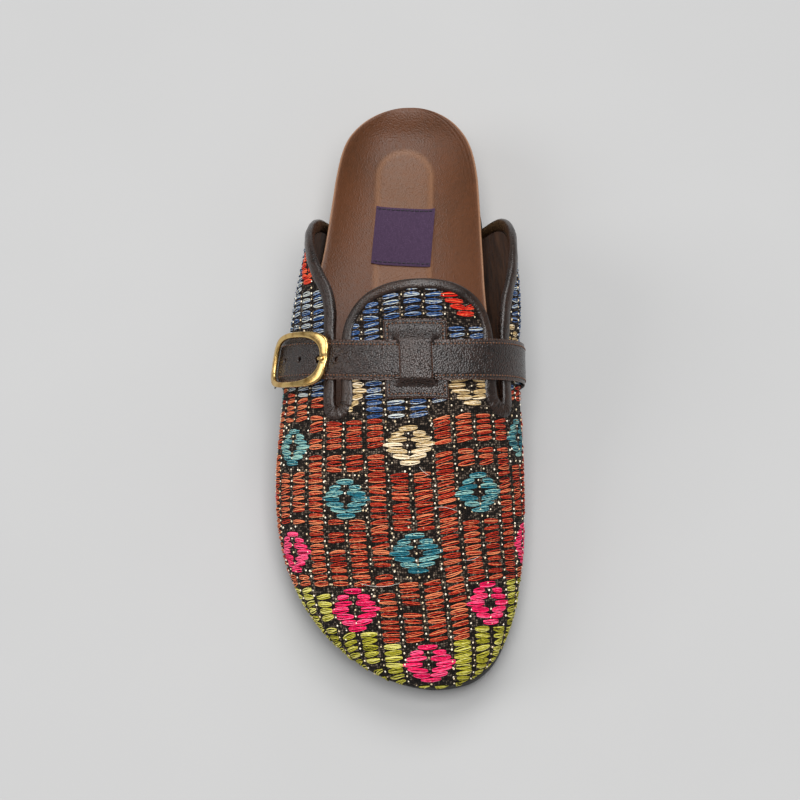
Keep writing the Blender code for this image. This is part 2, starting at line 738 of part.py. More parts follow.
def build_keeper(finishes, collection):
    """Patch on the tongue with its loop over the strap."""
    side = np.linspace(-1.0, 1.0, 7)
    across = KEEPER_MIDDLE + KEEPER["half_width"][:, None] * side
    station = np.broadcast_to(KEEPER_STATION + KEEPER["along"][:, None], across.shape)
    lift = np.broadcast_to(KEEPER["lift"][:, None], across.shape)
    top = LAST_FORM.point(station, across, lift + KEEPER_THICKNESS)
    bottom = LAST_FORM.point(station, across, lift)
    slab("keeper", top, bottom, finishes["dark_leather"], collection)


def build_buckle(finishes, collection):
    """Brass frame round the strap and the prong through it."""
    angle = np.linspace(0.0, 2 * np.pi, 36, endpoint=False)
    power = np.where(np.cos(angle) > 0.0, BUCKLE_ROUND_END, BUCKLE_SQUARENESS)
    corner = np.stack([np.sign(np.cos(angle)) * np.abs(np.cos(angle))**power,
                       np.sign(np.sin(angle)) * np.abs(np.sin(angle))**power], axis=1)
    outer = corner * np.array([BUCKLE_LENGTH / 2, BUCKLE_WIDTH / 2])
    bar = np.where(corner[:, 0] > 0.0, BUCKLE_UPPER_BAR, BUCKLE_LOWER_BAR)
    inner = np.stack([corner[:, 0] * (BUCKLE_LENGTH / 2 - bar),
                      corner[:, 1] * (BUCKLE_WIDTH / 2 - BUCKLE_SIDE_BAR)], axis=1)
    rings = []
    for inward, rise in zip(BUCKLE_SECTION["inward"], BUCKLE_SECTION["rise"]):
        flat = outer + inward * (inner - outer)
        across = BUCKLE_ACROSS + flat[:, 0]
        lift = strap_lift(across) + STRAP_THICKNESS + GAP + rise * BUCKLE_THICKNESS
        rings.append(strap_place(across, flat[:, 1], lift))
    tube("buckle_frame", np.stack(rings, axis=1), True, finishes["brass"], collection)
    tip = BUCKLE_ACROSS + BUCKLE_LENGTH / 2 - BUCKLE_UPPER_BAR - GAP
    across = np.linspace(tip - PRONG_LENGTH, tip, 4)[:, None] + np.zeros(3)
    aside = np.linspace(-PRONG_WIDTH / 2, PRONG_WIDTH / 2, 3) + np.zeros((4, 1))
    low = strap_lift(across) + STRAP_THICKNESS + GAP
    top = strap_place(across, aside, low + PRONG_THICKNESS)
    bottom = strap_place(across, aside, low)
    slab("buckle_prong", top, bottom, finishes["brass"], collection)


def build_label(finishes, collection):
    """Bare woven label lying on the insole."""
    along = np.linspace(-LABEL_LENGTH / 2, LABEL_LENGTH / 2, 6)[:, None]
    aside = np.linspace(-LABEL_WIDTH / 2, LABEL_WIDTH / 2, 6)[None, :]
    station = LABEL_STATION + along * np.cos(LABEL_TURN) + aside * np.sin(LABEL_TURN)
    x = LABEL_MIDDLE + aside * np.cos(LABEL_TURN) - along * np.sin(LABEL_TURN)
    low = footbed_height(station, x) + GAP
    bottom = np.stack([x, LENGTH / 2 - station, low], axis=-1)
    top = np.stack([x, LENGTH / 2 - station, low + LABEL_THICKNESS], axis=-1)
    slab("label", top, bottom, finishes["label_cloth"], collection)


def clear_scene():
    """Remove every object of the start-up scene."""
    for item in list(bpy.data.objects):
        bpy.data.objects.remove(item, do_unlink=True)


def main():
    """Build every piece of the clog in its own collection."""
    clear_scene()
    collection = bpy.data.collections.new("woven_clog")
    bpy.context.scene.collection.children.link(collection)
    finishes = {
        "rubber": material("rubber", (0.02, 0.02, 0.02), 0.7),
        "cork": material("cork", (0.52, 0.29, 0.13), 0.85),
        "insole_leather": material("insole_leather", (0.17, 0.075, 0.04), 0.5),
        "woven": material("woven", (0.25, 0.08, 0.04), 0.95),
        "dark_leather": material("dark_leather", (0.028, 0.018, 0.014), 0.5),
        "brass": material("brass", (0.78, 0.60, 0.28), 0.25, 1.0),
        "label_cloth": material("label_cloth", (0.06, 0.04, 0.09), 0.9),
    }
    build_sole(finishes, collection)
    build_upper(finishes, collection)
    build_binding(finishes, collection)
    build_strap(finishes, collection)
    build_tab(finishes, collection)
    build_keeper(finishes, collection)
    build_buckle(finishes, collection)
    build_label(finishes, collection)


main()
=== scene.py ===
"""Dressed model of a right-foot woven clog with a strap, a brass buckle and a cork footbed.

Every piece is worked out in millimetres from the sizes of the last and the sole.  Stations run from
the back of the heel to the toe, the toe points to -Y and the inner side of the foot to +X.
"""
import logging
import math
from collections.abc import Callable
from dataclasses import dataclass, field
from enum import Enum
from functools import lru_cache
from typing import Protocol

import bpy
import numpy as np
from mathutils import Matrix, Vector
from mathutils.geometry import delaunay_2d_cdt


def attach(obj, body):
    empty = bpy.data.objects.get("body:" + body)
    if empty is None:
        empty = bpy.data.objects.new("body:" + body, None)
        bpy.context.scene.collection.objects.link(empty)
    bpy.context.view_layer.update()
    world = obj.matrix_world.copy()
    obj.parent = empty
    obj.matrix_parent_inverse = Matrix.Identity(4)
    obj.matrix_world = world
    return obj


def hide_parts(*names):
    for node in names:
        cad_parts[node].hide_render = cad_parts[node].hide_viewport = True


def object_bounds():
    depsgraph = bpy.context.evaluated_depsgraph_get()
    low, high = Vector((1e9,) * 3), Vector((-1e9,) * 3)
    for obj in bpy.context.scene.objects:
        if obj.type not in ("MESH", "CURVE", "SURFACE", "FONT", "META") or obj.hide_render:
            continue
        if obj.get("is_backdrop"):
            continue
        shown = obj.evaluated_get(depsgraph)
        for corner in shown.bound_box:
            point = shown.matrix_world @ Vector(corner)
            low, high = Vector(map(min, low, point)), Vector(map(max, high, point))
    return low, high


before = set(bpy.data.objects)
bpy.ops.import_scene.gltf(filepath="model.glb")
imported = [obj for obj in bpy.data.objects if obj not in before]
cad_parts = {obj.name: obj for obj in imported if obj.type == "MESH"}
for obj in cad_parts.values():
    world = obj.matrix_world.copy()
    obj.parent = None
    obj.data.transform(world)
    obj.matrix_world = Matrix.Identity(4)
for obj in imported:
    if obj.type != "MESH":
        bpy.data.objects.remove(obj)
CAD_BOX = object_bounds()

Array = np.ndarray
Table = dict[str, np.ndarray]
Pair = tuple[float, float]
Height = Callable[[Array, Array], Array]

MM = 0.001
GAP = 0.3
DETAIL = 3.0
BODY = "root"
log = logging.getLogger("woven_clog")


# Curves and tables

def table(names: str, *rows: tuple[float, ...]) -> Table:
    """Dataclass field for rows of sizes, kept as one array for each named column.

    Args:
        names: Column names with blanks between them.
        rows: One row of sizes for each station.

    Returns:
        The field, whose value is the columns by name.
    """
    return field(default_factory=lambda: dict(zip(names.split(), np.array(rows, dtype=float).T)))


def smooth(at: Array, rows: Table, name: str, key: str = "station") -> Array:
    """Cubic through one column of a table, with slopes from the neighbouring rows.

    Args:
        at: Places to read.
        rows: Table that holds the column.
        name: Column of values.
        key: Column of places.

    Returns:
        The value at each place.
    """
    knots, values = rows[key], rows[name]
    at = np.asarray(at, dtype=float)
    slopes = np.gradient(values, knots)
    i = np.clip(np.searchsorted(knots, at, side="right") - 1, 0, len(knots) - 2)
    span = knots[i + 1] - knots[i]
    t = np.clip((at - knots[i]) / span, 0.0, 1.0)
    start = values[i] * (2 * t**3 - 3 * t**2 + 1) + slopes[i] * span * (t**3 - 2 * t**2 + t)
    finish = values[i + 1] * (3 * t**2 - 2 * t**3) + slopes[i + 1] * span * (t**3 - t**2)
    return start + finish


def smooth_path(points: Array, step: float) -> Array:
    """Cubic through plane points by chord length, cut into even steps.

    Args:
        points: Plane points in order.
        step: Length of a step.

    Returns:
        The finer plane points.
    """
    points = np.asarray(points, dtype=float)
    chord = lengths(points)
    rows = {"chord": chord, "first": points[:, 0], "second": points[:, 1]}
    at = np.linspace(0.0, chord[-1], int(chord[-1] / step) + 1)
    return np.stack([smooth(at, rows, name, key="chord") for name in ("first", "second")], axis=1)


def pick(values: Array, at: Array) -> Array:
    """Values of a polyline at fractional places along it."""
    return np.stack([np.interp(at, np.arange(len(values)), column) for column in values.T], axis=1)


def even_steps(points: Array, step: float) -> Array:
    """Fractional places that cut a space polyline into even steps.

    Args:
        points: Points of the polyline.
        step: Length of a step.

    Returns:
        The places, as fractions of the point index.
    """
    length = lengths(points)
    count = max(2, int(round(length[-1] / step)) + 1)
    return np.interp(np.linspace(0.0, length[-1], count), length, np.arange(len(points)))


def ease(low: float, high: float, at: Array) -> Array:
    """Smooth step from 0 at the low place to 1 at the high place."""
    t = np.clip((np.asarray(at, dtype=float) - low) / (high - low), 0.0, 1.0)
    return t * t * (3.0 - 2.0 * t)


def lengths(points: Array) -> Array:
    """Length along a polyline up to each of its points."""
    return np.concatenate([[0.0], np.cumsum(np.linalg.norm(np.diff(points, axis=0), axis=1))])


def stack(*parts: Array) -> Array:
    """Arrays of one shape side by side, on a new last axis."""
    return np.stack(parts, axis=-1)


def unit(vectors: Array) -> Array:
    """Vectors brought to length 1."""
    return vectors / np.maximum(np.linalg.norm(vectors, axis=-1, keepdims=True), 1e-9)


def round_turn(count: int) -> Array:
    """Angles of evenly spaced points round a circle."""
    return np.linspace(0.0, 2 * np.pi, count, endpoint=False)


def crowded(count: int) -> Array:
    """Places from -1 to 1 that crowd towards both ends, as a sine."""
    return np.sin(np.linspace(-np.pi / 2, np.pi / 2, count))


def squared(wave: Array, power: Array | float) -> Array:
    """Cosine or sine raised to a power with its sign kept, which squares a circle off."""
    return np.sign(wave) * np.abs(wave)**power


def bezier(t: Array) -> Array:
    """Weights of the four points of a cubic Bezier, by point and place along it."""
    return np.stack([(1 - t)**3, 3 * (1 - t)**2 * t, 3 * (1 - t) * t**2, t**3])


# Meshes

@dataclass
class Skin:
    """Points and faces of one piece in millimetres, with what its finish reads.

    Attributes:
        points: Places of the points.
        quads: Corners of the four-sided faces.
        tris: Corners of the three-sided faces.
        uv: Pattern coordinates of every face corner, quads first.
        marks: Named values at every point.
        slots: Number of the finish of every face, quads first.
    """

    points: Array
    quads: Array = field(default_factory=lambda: np.zeros((0, 4), int))
    tris: Array = field(default_factory=lambda: np.zeros((0, 3), int))
    uv: Array | None = None
    marks: dict[str, Array] = field(default_factory=dict)
    slots: Array | None = None

    def corners(self) -> Array:
        """Point numbers of all face corners in mesh order."""
        return np.concatenate([self.quads.ravel(), self.tris.ravel()])

    def volume(self) -> float:
        """Signed volume of the skin as a sum of tetrahedra.

        Returns:
            The volume, positive where the faces look outward.
        """
        parts = np.concatenate([self.quads[:, [0, 1, 2]], self.quads[:, [0, 2, 3]], self.tris])
        a, b, c = (self.points[parts[:, n]] for n in range(3))
        return float(np.einsum("ij,ij->i", a, np.cross(b, c)).sum() / 6.0)

    def mesh(self, name: str) -> bpy.types.Mesh:
        """Write the skin into a mesh whose faces look outward.

        Args:
            name: Name of the mesh.

        Returns:
            The mesh, in metres.
        """
        made = bpy.data.meshes.new(name)
        faces = self.quads.tolist() + self.tris.tolist()
        made.from_pydata((self.points * MM).tolist(), [], faces)
        if self.uv is not None:
            layer = made.uv_layers.new(name="pattern")
            layer.data.foreach_set("uv", np.ascontiguousarray(self.uv, dtype=np.float32).ravel())
        for key, values in self.marks.items():
            mark = made.attributes.new(key, "FLOAT", "POINT")
            mark.data.foreach_set("value", np.ascontiguousarray(values, dtype=np.float32).ravel())
        if self.slots is not None:
            made.polygons.foreach_set("material_index", np.ascontiguousarray(self.slots, dtype=np.int32))
        if self.volume() < 0.0:
            made.flip_normals()
        made.shade_smooth()
        return made


def grid_quads(rows: int, columns: int, loop_rows: bool = False, loop_columns: bool = False) -> Array:
    """Corners of the quads of a point grid.

    Args:
        rows: Number of rows of points.
        columns: Number of columns of points.
        loop_rows: Whether the last row joins the first.
        loop_columns: Whether the last column joins the first.

    Returns:
        Point numbers of each quad.
    """
    i = np.arange(rows if loop_rows else rows - 1)[:, None]
    j = np.arange(columns if loop_columns else columns - 1)[None, :]
    i, j = np.broadcast_arrays(i, j)
    low, high = i * columns, ((i + 1) % rows) * columns
    after = (j + 1) % columns
    return stack(low + j, low + after, high + after, high + j).reshape(-1, 4)


def tube(rings: Array, loop: bool = False) -> Skin:
    """Solid through rings of points: a profile carried along a path, capped by fans.

    Args:
        rings: Points by ring and by place on the ring.
        loop: Whether the last ring joins the first, with no caps.

    Returns:
        The closed skin.
    """
    count, size = rings.shape[:2]
    points = rings.reshape(-1, 3)
    quads = grid_quads(count, size, loop_rows=loop, loop_columns=True)
    if loop:
        return Skin(points, quads)
    around = np.arange(size)
    after = (around + 1) % size
    end = (count - 1) * size
    first = stack(after, around, np.full(size, len(points)))
    last = stack(end + around, end + after, np.full(size, len(points) + 1))
    points = np.concatenate([points, [rings[0].mean(axis=0), rings[-1].mean(axis=0)]])
    return Skin(points, quads, np.concatenate([first, last]))


def slab(top: Array, bottom: Array) -> Skin:
    """Solid between two point grids: both faces and a strip round their border.

    Args:
        top: Upper grid of points.
        bottom: Lower grid of the same size.

    Returns:
        The closed skin.
    """
    rows, columns = top.shape[:2]
    count = rows * columns
    index = np.arange(count).reshape(rows, columns)
    face = grid_quads(rows, columns)
    border = np.concatenate([index[0, :-1], index[:-1, -1], index[-1, :0:-1], index[:0:-1, 0]])
    after = np.roll(border, -1)
    strip = stack(after, border, border + count, after + count)
    quads = np.concatenate([face, face[:, ::-1] + count, strip])
    return Skin(np.concatenate([top.reshape(-1, 3), bottom.reshape(-1, 3)]), quads)


def strands(rings: Array, along: Array, marks: dict[str, Array]) -> Skin:
    """Many closed tubes of the same number of rings in one skin.

    Args:
        rings: Points by strand, ring and place on the ring.
        along: Length of each strand in millimetres, for its pattern coordinates.
        marks: Values by strand.

    Returns:
        The joined skin; U runs along a strand in millimetres and V once round it.
    """
    many, count, size = rings.shape[:3]
    side = grid_quads(count, size, loop_columns=True)
    fan = np.arange(1, size - 1)
    first = stack(np.zeros(size - 2, int), fan + 1, fan)
    last = stack(np.zeros(size - 2, int), fan, fan + 1) + (count - 1) * size
    starts = np.arange(many)[:, None, None] * count * size
    i, j = np.divmod(np.arange((count - 1) * size), size)
    u = stack(i, i, i + 1, i + 1) / (count - 1)
    v = stack(j, j + 1, j + 1, j) / size
    uv = stack(np.broadcast_to(u, (many, *u.shape)) * along[:, None, None],
               np.broadcast_to(v, (many, *v.shape))).reshape(-1, 2)
    caps = np.concatenate([first, last])
    flat = np.zeros((many * caps.size, 2))
    return Skin(
        rings.reshape(-1, 3),
        (side + starts).reshape(-1, 4),
        (caps + starts).reshape(-1, 3),
        np.concatenate([uv, flat]),
        {key: np.repeat(values, count * size) for key, values in marks.items()},
    )


def beads(centres: Array, axes: Array, radii: Array) -> Skin:
    """Many small round beads in one skin, each a sphere of 3 rings and 2 poles squashed along its axes.

    Args:
        centres: Middle of each bead.
        axes: Three directions of each bead, as rows.
        radii: Three half sizes of each bead.

    Returns:
        The joined skin.
    """
    turn = round_turn(6)
    level = np.array([-0.7, 0.0, 0.7])
    ring = np.sqrt(1.0 - level**2)
    ball = stack(ring[:, None] * np.cos(turn), ring[:, None] * np.sin(turn),
                 np.broadcast_to(level[:, None], (3, 6))).reshape(-1, 3)
    ball = np.concatenate([ball, [[0, 0, -1], [0, 0, 1]]])
    quads = grid_quads(3, 6, loop_columns=True)
    k = np.arange(6)
    tris = np.concatenate([stack((k + 1) % 6, k, np.full(6, 18)),
                           stack(12 + k, 12 + (k + 1) % 6, np.full(6, 19))])
    points = centres[:, None] + np.einsum("pk,nk,nkc->npc", ball, radii, axes)
    starts = np.arange(len(centres))[:, None, None] * len(ball)
    return Skin(points.reshape(-1, 3), (quads + starts).reshape(-1, 4), (tris + starts).reshape(-1, 3))


class Finish(Protocol):
    """Anything that can build a material."""

    def make(self) -> bpy.types.Material:
        """Build the material."""


@lru_cache(maxsize=None)
def material(finish: Finish) -> bpy.types.Material:
    """Material of a finish, built the first time it is asked for."""
    return finish.make()


def place(skin: Skin, name: str, finishes: list[Finish],
          replaced: tuple[str, ...] = (), sharp: float | None = None) -> bpy.types.Object:
    """Put a skin into the scene as one piece that rides on the body.

    Args:
        skin: Shape of the piece.
        name: Name of the piece.
        finishes: Its finishes, in slot order.
        replaced: CAD nodes that the piece stands for.
        sharp: Angle in degrees above which an edge is kept sharp.

    Returns:
        The piece.
    """
    mesh = skin.mesh(name)
    for finish in finishes:
        mesh.materials.append(material(finish))
    if sharp is not None:
        mesh.set_sharp_from_angle(angle=math.radians(sharp))
    piece = bpy.data.objects.new(name, mesh)
    bpy.context.scene.collection.objects.link(piece)
    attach(piece, BODY)
    if replaced:
        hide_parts(*replaced)
    log.info("%s: %d points, %d faces", name, len(mesh.vertices), len(mesh.polygons))
    return piece


# Finishes

def linear(code: str) -> tuple[float, float, float, float]:
    """Linear colour of an sRGB hex value.

    Args:
        code: Colour as #rrggbb.

    Returns:
        Red, green, blue and full opacity.
    """
    parts = [int(code[n:n + 2], 16) / 255.0 for n in (1, 3, 5)]
    return (*(p / 12.92 if p <= 0.04045 else ((p + 0.055) / 1.055)**2.4 for p in parts), 1.0)


def per(size: float) -> float:
    """Scale of a pattern on object coordinates, from a real size in millimetres."""
    return 1.0 / (size * MM)


class Recipe:
    """Node tree of one material, filled node by node."""

    def __init__(self, name: str, **sockets: float | str) -> None:
        """Start a material with constants on its shader's own sockets.

        Args:
            name: Name of the material.
            sockets: Shader inputs by name, with _ for blanks; a hex value is a colour.
        """
        self.material = bpy.data.materials.new(name)
        self.material.use_nodes = True
        self.tree = self.material.node_tree
        self.shader = self.tree.nodes["Principled BSDF"]
        self.dress(**sockets)
        self.material.diffuse_color = self.shader.inputs["Base Color"].default_value
        self.place = self.add("TexCoord").outputs["Object"]

    def put(self, socket: bpy.types.NodeSocket, value: object) -> None:
        """Set an input, or link it.

        Args:
            socket: The input.
            value: A number, vector or hex colour, an output, or a node whose first output in use is taken.
        """
        if isinstance(value, bpy.types.Node):
            value = next(output for output in value.outputs if output.enabled)
        if isinstance(value, bpy.types.NodeSocket):
            self.tree.links.new(value, socket)
        else:
            socket.default_value = linear(value) if isinstance(value, str) else value

    def add(self, kind: str, *values: object, stops: tuple[tuple[float, str], ...] = (),
            **named: object) -> bpy.types.Node:
        """Add a node with its settings and links.

        Args:
            kind: Node type without its ShaderNode prefix, and its operation after a blank.
            values: The inputs in use, in order.
            stops: Places and hex colours of a colour ramp.
            named: Settings by their own names; inputs by their capital names, with _ for blanks.

        Returns:
            The node.
        """
        kind, *operation = kind.split()
        node = self.tree.nodes.new("ShaderNode" + kind)
        if operation:
            node.operation = operation[0]
        for key in list(filter(str.islower, named)):
            setattr(node, key, named.pop(key))
        for socket, value in zip([socket for socket in node.inputs if socket.enabled], values):
            self.put(socket, value)
        for key, value in named.items():
            self.put(node.inputs[key.replace("_", " ")], value)
        for _ in stops[2:]:
            node.color_ramp.elements.new(0.5)
        for number, (at, code) in enumerate(stops):
            node.color_ramp.elements[number].position = at
            node.color_ramp.elements[number].color = linear(code)
        return node

    def dress(self, **sockets: object) -> None:
        """Set or link the shader's inputs by name, with _ for blanks."""
        for key, value in sockets.items():
            self.put(self.shader.inputs[key.replace("_", " ")], value)


@dataclass(frozen=True)
class WoolYarn:
    """Hand-spun wool: matt, streaked strands with a soft halo of fibres.

    The twist is the length of one turn of the ply in millimetres, coarsened so that it shows.
    """

    name: str
    dark: str
    body: str
    light: str
    twist: float = 2.6
    turns: float = 3.0
    fibre: float = 0.5
    fuzz: float = 0.16

    def make(self) -> bpy.types.Material:
        """Build the material: streaks that follow the ply, fibres and a random tone for each strand pick the
        colour, with a painted highlight on the top of each strand and painted shade on its flanks and
        underside.

        Returns:
            The material.
        """
        wool = Recipe(self.name, Base_Color=self.body, Roughness=0.85, Sheen_Weight=0.03,
                      Specular_IOR_Level=0.1)
        shade = wool.add("Attribute", attribute_name="shade").outputs["Fac"]
        along, around, _ = wool.add("SeparateXYZ", wool.add("UVMap", uv_map="pattern")).outputs
        # Painted light: the top of each strand, a quarter turn round it, is lightened, and its flanks and
        # underside are darkened.
        crown = wool.add("Math SINE", wool.add("Math MULTIPLY", around, 2 * math.pi))
        ply = wool.add("Math DIVIDE", along, self.twist)
        turn = wool.add("Math MULTIPLY", wool.add("Math ADD", ply, around), self.turns)
        course = wool.add("CombineXYZ", ply, turn, wool.add("Math MULTIPLY", shade, 60.0))
        streak = wool.add("TexNoise", course, Scale=1.0, Detail=2.0)
        fibre = wool.add("TexNoise", wool.place, Scale=per(self.fibre), Detail=DETAIL)
        tone = wool.add("Math MULTIPLY_ADD", streak, 1.2, wool.add("Math MULTIPLY", fibre, 0.4))
        tone = wool.add("Math MULTIPLY_ADD", crown, 0.85, wool.add("Math ADD", tone, shade))
        face = wool.add("ValToRGB", wool.add("Math SUBTRACT", tone, 1.42), stops=(
            (0.08, self.dark), (0.42, self.body), (0.62, self.body), (0.98, self.light)))
        wool.dress(Base_Color=face, Normal=wool.add("Bump", Height=fibre, Distance=self.fuzz * MM))
        return wool.material


@dataclass(frozen=True)
class PlainWeave:
    """Close plain weave: alternating over and under threads with stray paler fibres.

    Threads are spaced in millimetres across and along, and wander by the sway, a share of their spacing.
    Half of the fleck share of the crossings turns towards the stray colour.
    """

    name: str
    thread: Pair
    dark: str
    body: str
    fleck: str
    fleck_share: float
    gloss: float = 0.9
    sway: float = 0.0
    fibre: float = 0.5
    relief: float = 0.4

    def make(self) -> bpy.types.Material:
        """Build the material: the root of two crossed sines is the height, a draw per crossing the colour,
        and the low places between threads are painted dark as shade.

        Returns:
            The material.
        """
        cloth = Recipe(self.name, Base_Color=self.body, Roughness=self.gloss, Specular_IOR_Level=0.2)
        cell = cloth.add("VectorMath DIVIDE", cloth.add("UVMap", uv_map="pattern"), (*self.thread, 1.0))
        drift = cloth.add("TexNoise", cell, Scale=0.6).outputs["Color"]
        cell = cloth.add("VectorMath ADD", cell, cloth.add("VectorMath SCALE", drift, self.sway))
        sides = cloth.add("SeparateXYZ", cell).outputs[:2]
        waves = [cloth.add("Math SINE", cloth.add("Math MULTIPLY", side, math.pi)) for side in sides]
        height = cloth.add("Math ABSOLUTE", cloth.add("Math MULTIPLY", *waves))
        height = cloth.add("Math POWER", height, 0.5)
        chance = cloth.add("TexWhiteNoise", cloth.add("VectorMath FLOOR", cell), noise_dimensions="2D")
        thread = cloth.add("ValToRGB", chance, stops=(
            (0.0, self.dark), (1.0 - 2.0 * self.fleck_share, self.body), (1.0, self.fleck)))
        # Painted shade: the colour goes to the dark one where the threads dip between crossings.
        crossing = cloth.add("Math POWER", height, 2.0)
        fuzz = cloth.add("TexNoise", cloth.place, Scale=per(self.fibre), Detail=DETAIL)
        cloth.dress(
            Base_Color=cloth.add("Mix", crossing, self.dark, thread, data_type="RGBA"),
            Normal=cloth.add("Bump", Height=cloth.add("Math ADD", height, fuzz), Distance=self.relief * MM))
        return cloth.material


@dataclass(frozen=True)
class Leather:
    """Finished leather: small pebbles pressed into a softly glossy face, paler where it is worn and where a
    highlight is painted.

    The grain, its depth and the slow colour patches are in millimetres.  A mark at the points picks the paler
    colour, for worn places and, on some pieces, painted highlights.  The tops of the pebbles take a share of
    the paler colour as a painted glint, and the hollows take the pits' share of the dark colour as painted
    shade.
    """

    name: str
    dark: str
    body: str
    worn_and_highlight_colour: str
    grain: float
    depth: float
    gloss: float
    coat: float = 0.0
    patch: float = 22.0
    glint_share: float = 0.0
    shine: float = 0.45
    pits: float = 0.7
    wander: float = 2.4

    def make(self) -> bpy.types.Material:
        """Build the material: domes over wandering cells are the grain, slow clouds the colour.

        Returns:
            The material.
        """
        hide = Recipe(self.name, Base_Color=self.body, Roughness=self.gloss, Coat_Weight=self.coat,
                      Coat_Roughness=0.25, Specular_IOR_Level=self.shine)
        drift = hide.add("TexNoise", hide.place, Scale=per(2.0)).outputs["Color"]
        drift = hide.add("VectorMath SCALE", drift, 0.3 * self.grain * MM)
        cell = hide.add("TexVoronoi", hide.add("VectorMath ADD", hide.place, drift), Scale=per(self.grain))
        cell = hide.add("Math POWER", hide.add("Math MULTIPLY", cell, 1.25), 2.0)
        dome = hide.add("Math SUBTRACT", 1.0, cell)
        wander, cloud = (hide.add("TexNoise", hide.place, Scale=per(size), Detail=DETAIL)
                         for size in (self.wander, self.patch))
        tone = hide.add("Math MULTIPLY_ADD", cloud, 0.6, hide.add("Math MULTIPLY", wander, 0.4))
        face = hide.add("ValToRGB", tone, stops=((0.35, self.dark), (0.6, self.body)))
        # Painted glint: the very tops of the pebbles turn towards the paler colour.
        painted_glint = hide.add("Math MULTIPLY", hide.add("Math POWER", dome, 6.0), self.glint_share)
        # The point mark holds worn places and, on the insole and the bead, painted highlights; the stronger
        # of it and the painted glint wins.
        wear = hide.add("Attribute", attribute_name="wear").outputs["Fac"]
        face = hide.add("Mix", hide.add("Math MAXIMUM", wear, painted_glint), face, self.worn_and_highlight_colour, data_type="RGBA")
        # Painted shade: the hollows between the pebbles turn towards the dark colour.
        pit = hide.add("Math MULTIPLY", hide.add("Math SUBTRACT", 1.0, dome), self.pits)
        under = hide.add("Bump", Height=wander, Distance=0.4 * self.depth * MM)
        hide.dress(
            Base_Color=hide.add("Mix", pit, face, self.dark, data_type="RGBA"),
            Roughness=hide.add("Math MULTIPLY_ADD", wander, 0.24, self.gloss - 0.12),
            Normal=hide.add("Bump", Height=dome, Distance=self.depth * MM, Normal=under))
        return hide.material


@dataclass(frozen=True)
class Suede:
    """Brushed lining leather: a dull nap in brushed patches."""

    name: str = "suede_lining"
    dark: str = "#140a05"
    body: str = "#5c3a22"
    brush: float = 3.0
    hair: float = 0.5
    nap: float = 0.3

    def make(self) -> bpy.types.Material:
        """Build the material: clouds drawn out along the brushed way, with fine hair on them.

        Returns:
            The material.
        """
        suede = Recipe(self.name, Base_Color=self.body, Roughness=0.95, Sheen_Weight=0.05,
                       Specular_IOR_Level=0.1)
        swept = suede.add("Mapping", suede.place, Rotation=(0.6, 0.3, 0.0), Scale=(1.0, 0.25, 1.0))
        brush = suede.add("TexNoise", swept, Scale=per(self.brush), Detail=DETAIL)
        hair = suede.add("TexNoise", suede.place, Scale=per(self.hair), Detail=DETAIL)
        tone = suede.add("Math MULTIPLY_ADD", brush, 0.75, suede.add("Math MULTIPLY", hair, 0.25))
        face = suede.add("ValToRGB", tone, stops=((0.24, self.dark), (0.74, self.body)))
        suede.dress(Base_Color=face, Normal=suede.add("Bump", Height=hair, Distance=self.nap * MM))
        return suede.material


@dataclass(frozen=True)
class PressedCork:
    """Cork granules pressed with latex: tan grains with dark bark specks and fine pits."""

    name: str = "pressed_cork"
    grain: float = 2.2
    speck: float = 1.4
    pit: float = 0.8
    relief: float = 0.3
    dark: str = "#6b4527"
    body: str = "#b98a58"
    pale: str = "#d3ab78"

    def make(self) -> bpy.types.Material:
        """Build the material: a draw for each granule and fine pits pick the colour.

        Returns:
            The material.
        """
        cork = Recipe(self.name, Base_Color=self.body, Roughness=0.9, Specular_IOR_Level=0.2)
        grain = cork.add("TexVoronoi", cork.place, Scale=per(self.grain))
        fine = cork.add("TexNoise", cork.place, Scale=per(self.pit), Detail=DETAIL)
        chance = cork.add("SeparateColor", grain.outputs["Color"])
        tone = cork.add("Math MULTIPLY_ADD", chance, 0.6, cork.add("Math MULTIPLY", fine, 0.4))
        face = cork.add("ValToRGB", tone, stops=((0.22, self.dark), (0.4, self.body), (0.8, self.pale)))
        bark = cork.add("TexNoise", cork.place, Scale=per(self.speck), Detail=1.0)
        bark = cork.add("MapRange", bark, From_Min=0.66, From_Max=0.7)
        height = cork.add("Math MULTIPLY_ADD", grain, 0.7, fine)
        cork.dress(
            Base_Color=cork.add("Mix", bark, face, self.dark, data_type="RGBA"),
            Normal=cork.add("Bump", Height=height, Distance=self.relief * MM))
        return cork.material


@dataclass(frozen=True)
class Mottled:
    """Even finish: slow patches between two colours over a fine relief, both in millimetres.

    The roughness follows the patches by its swing.
    """

    name: str
    dark: str
    body: str
    patch: float = 0.4
    stops: Pair = (0.3, 0.65)
    roughness: float = 0.55
    swing: float = 0.0
    grit: float = 0.4
    relief: float = 0.0
    metallic: float = 0.0
    specular: float = 0.5
    sheen: float = 0.0

    def make(self) -> bpy.types.Material:
        """Build the material: one cloud picks the colour, a finer one the relief.

        Returns:
            The material.
        """
        made = Recipe(self.name, Base_Color=self.body, Roughness=self.roughness, Metallic=self.metallic,
                      Specular_IOR_Level=self.specular, Sheen_Weight=self.sheen)
        cloud = made.add("TexNoise", made.place, Scale=per(self.patch), Detail=DETAIL)
        stops = tuple(zip(self.stops, (self.dark, self.body)))
        made.dress(Base_Color=made.add("ValToRGB", cloud, stops=stops))
        if self.swing:
            made.dress(Roughness=made.add("Math MULTIPLY_ADD", cloud, self.swing, self.roughness))
        if self.relief:
            grit = made.add("TexNoise", made.place, Scale=per(self.grit), Detail=DETAIL)
            made.dress(Normal=made.add("Bump", Height=grit, Distance=self.relief * MM))
        return made.material


@dataclass(frozen=True)
class WaxedThread(Mottled):
    """Waxed sewing thread: round, tight and slightly shiny."""

    relief: float = 0.08
    sheen: float = 0.1


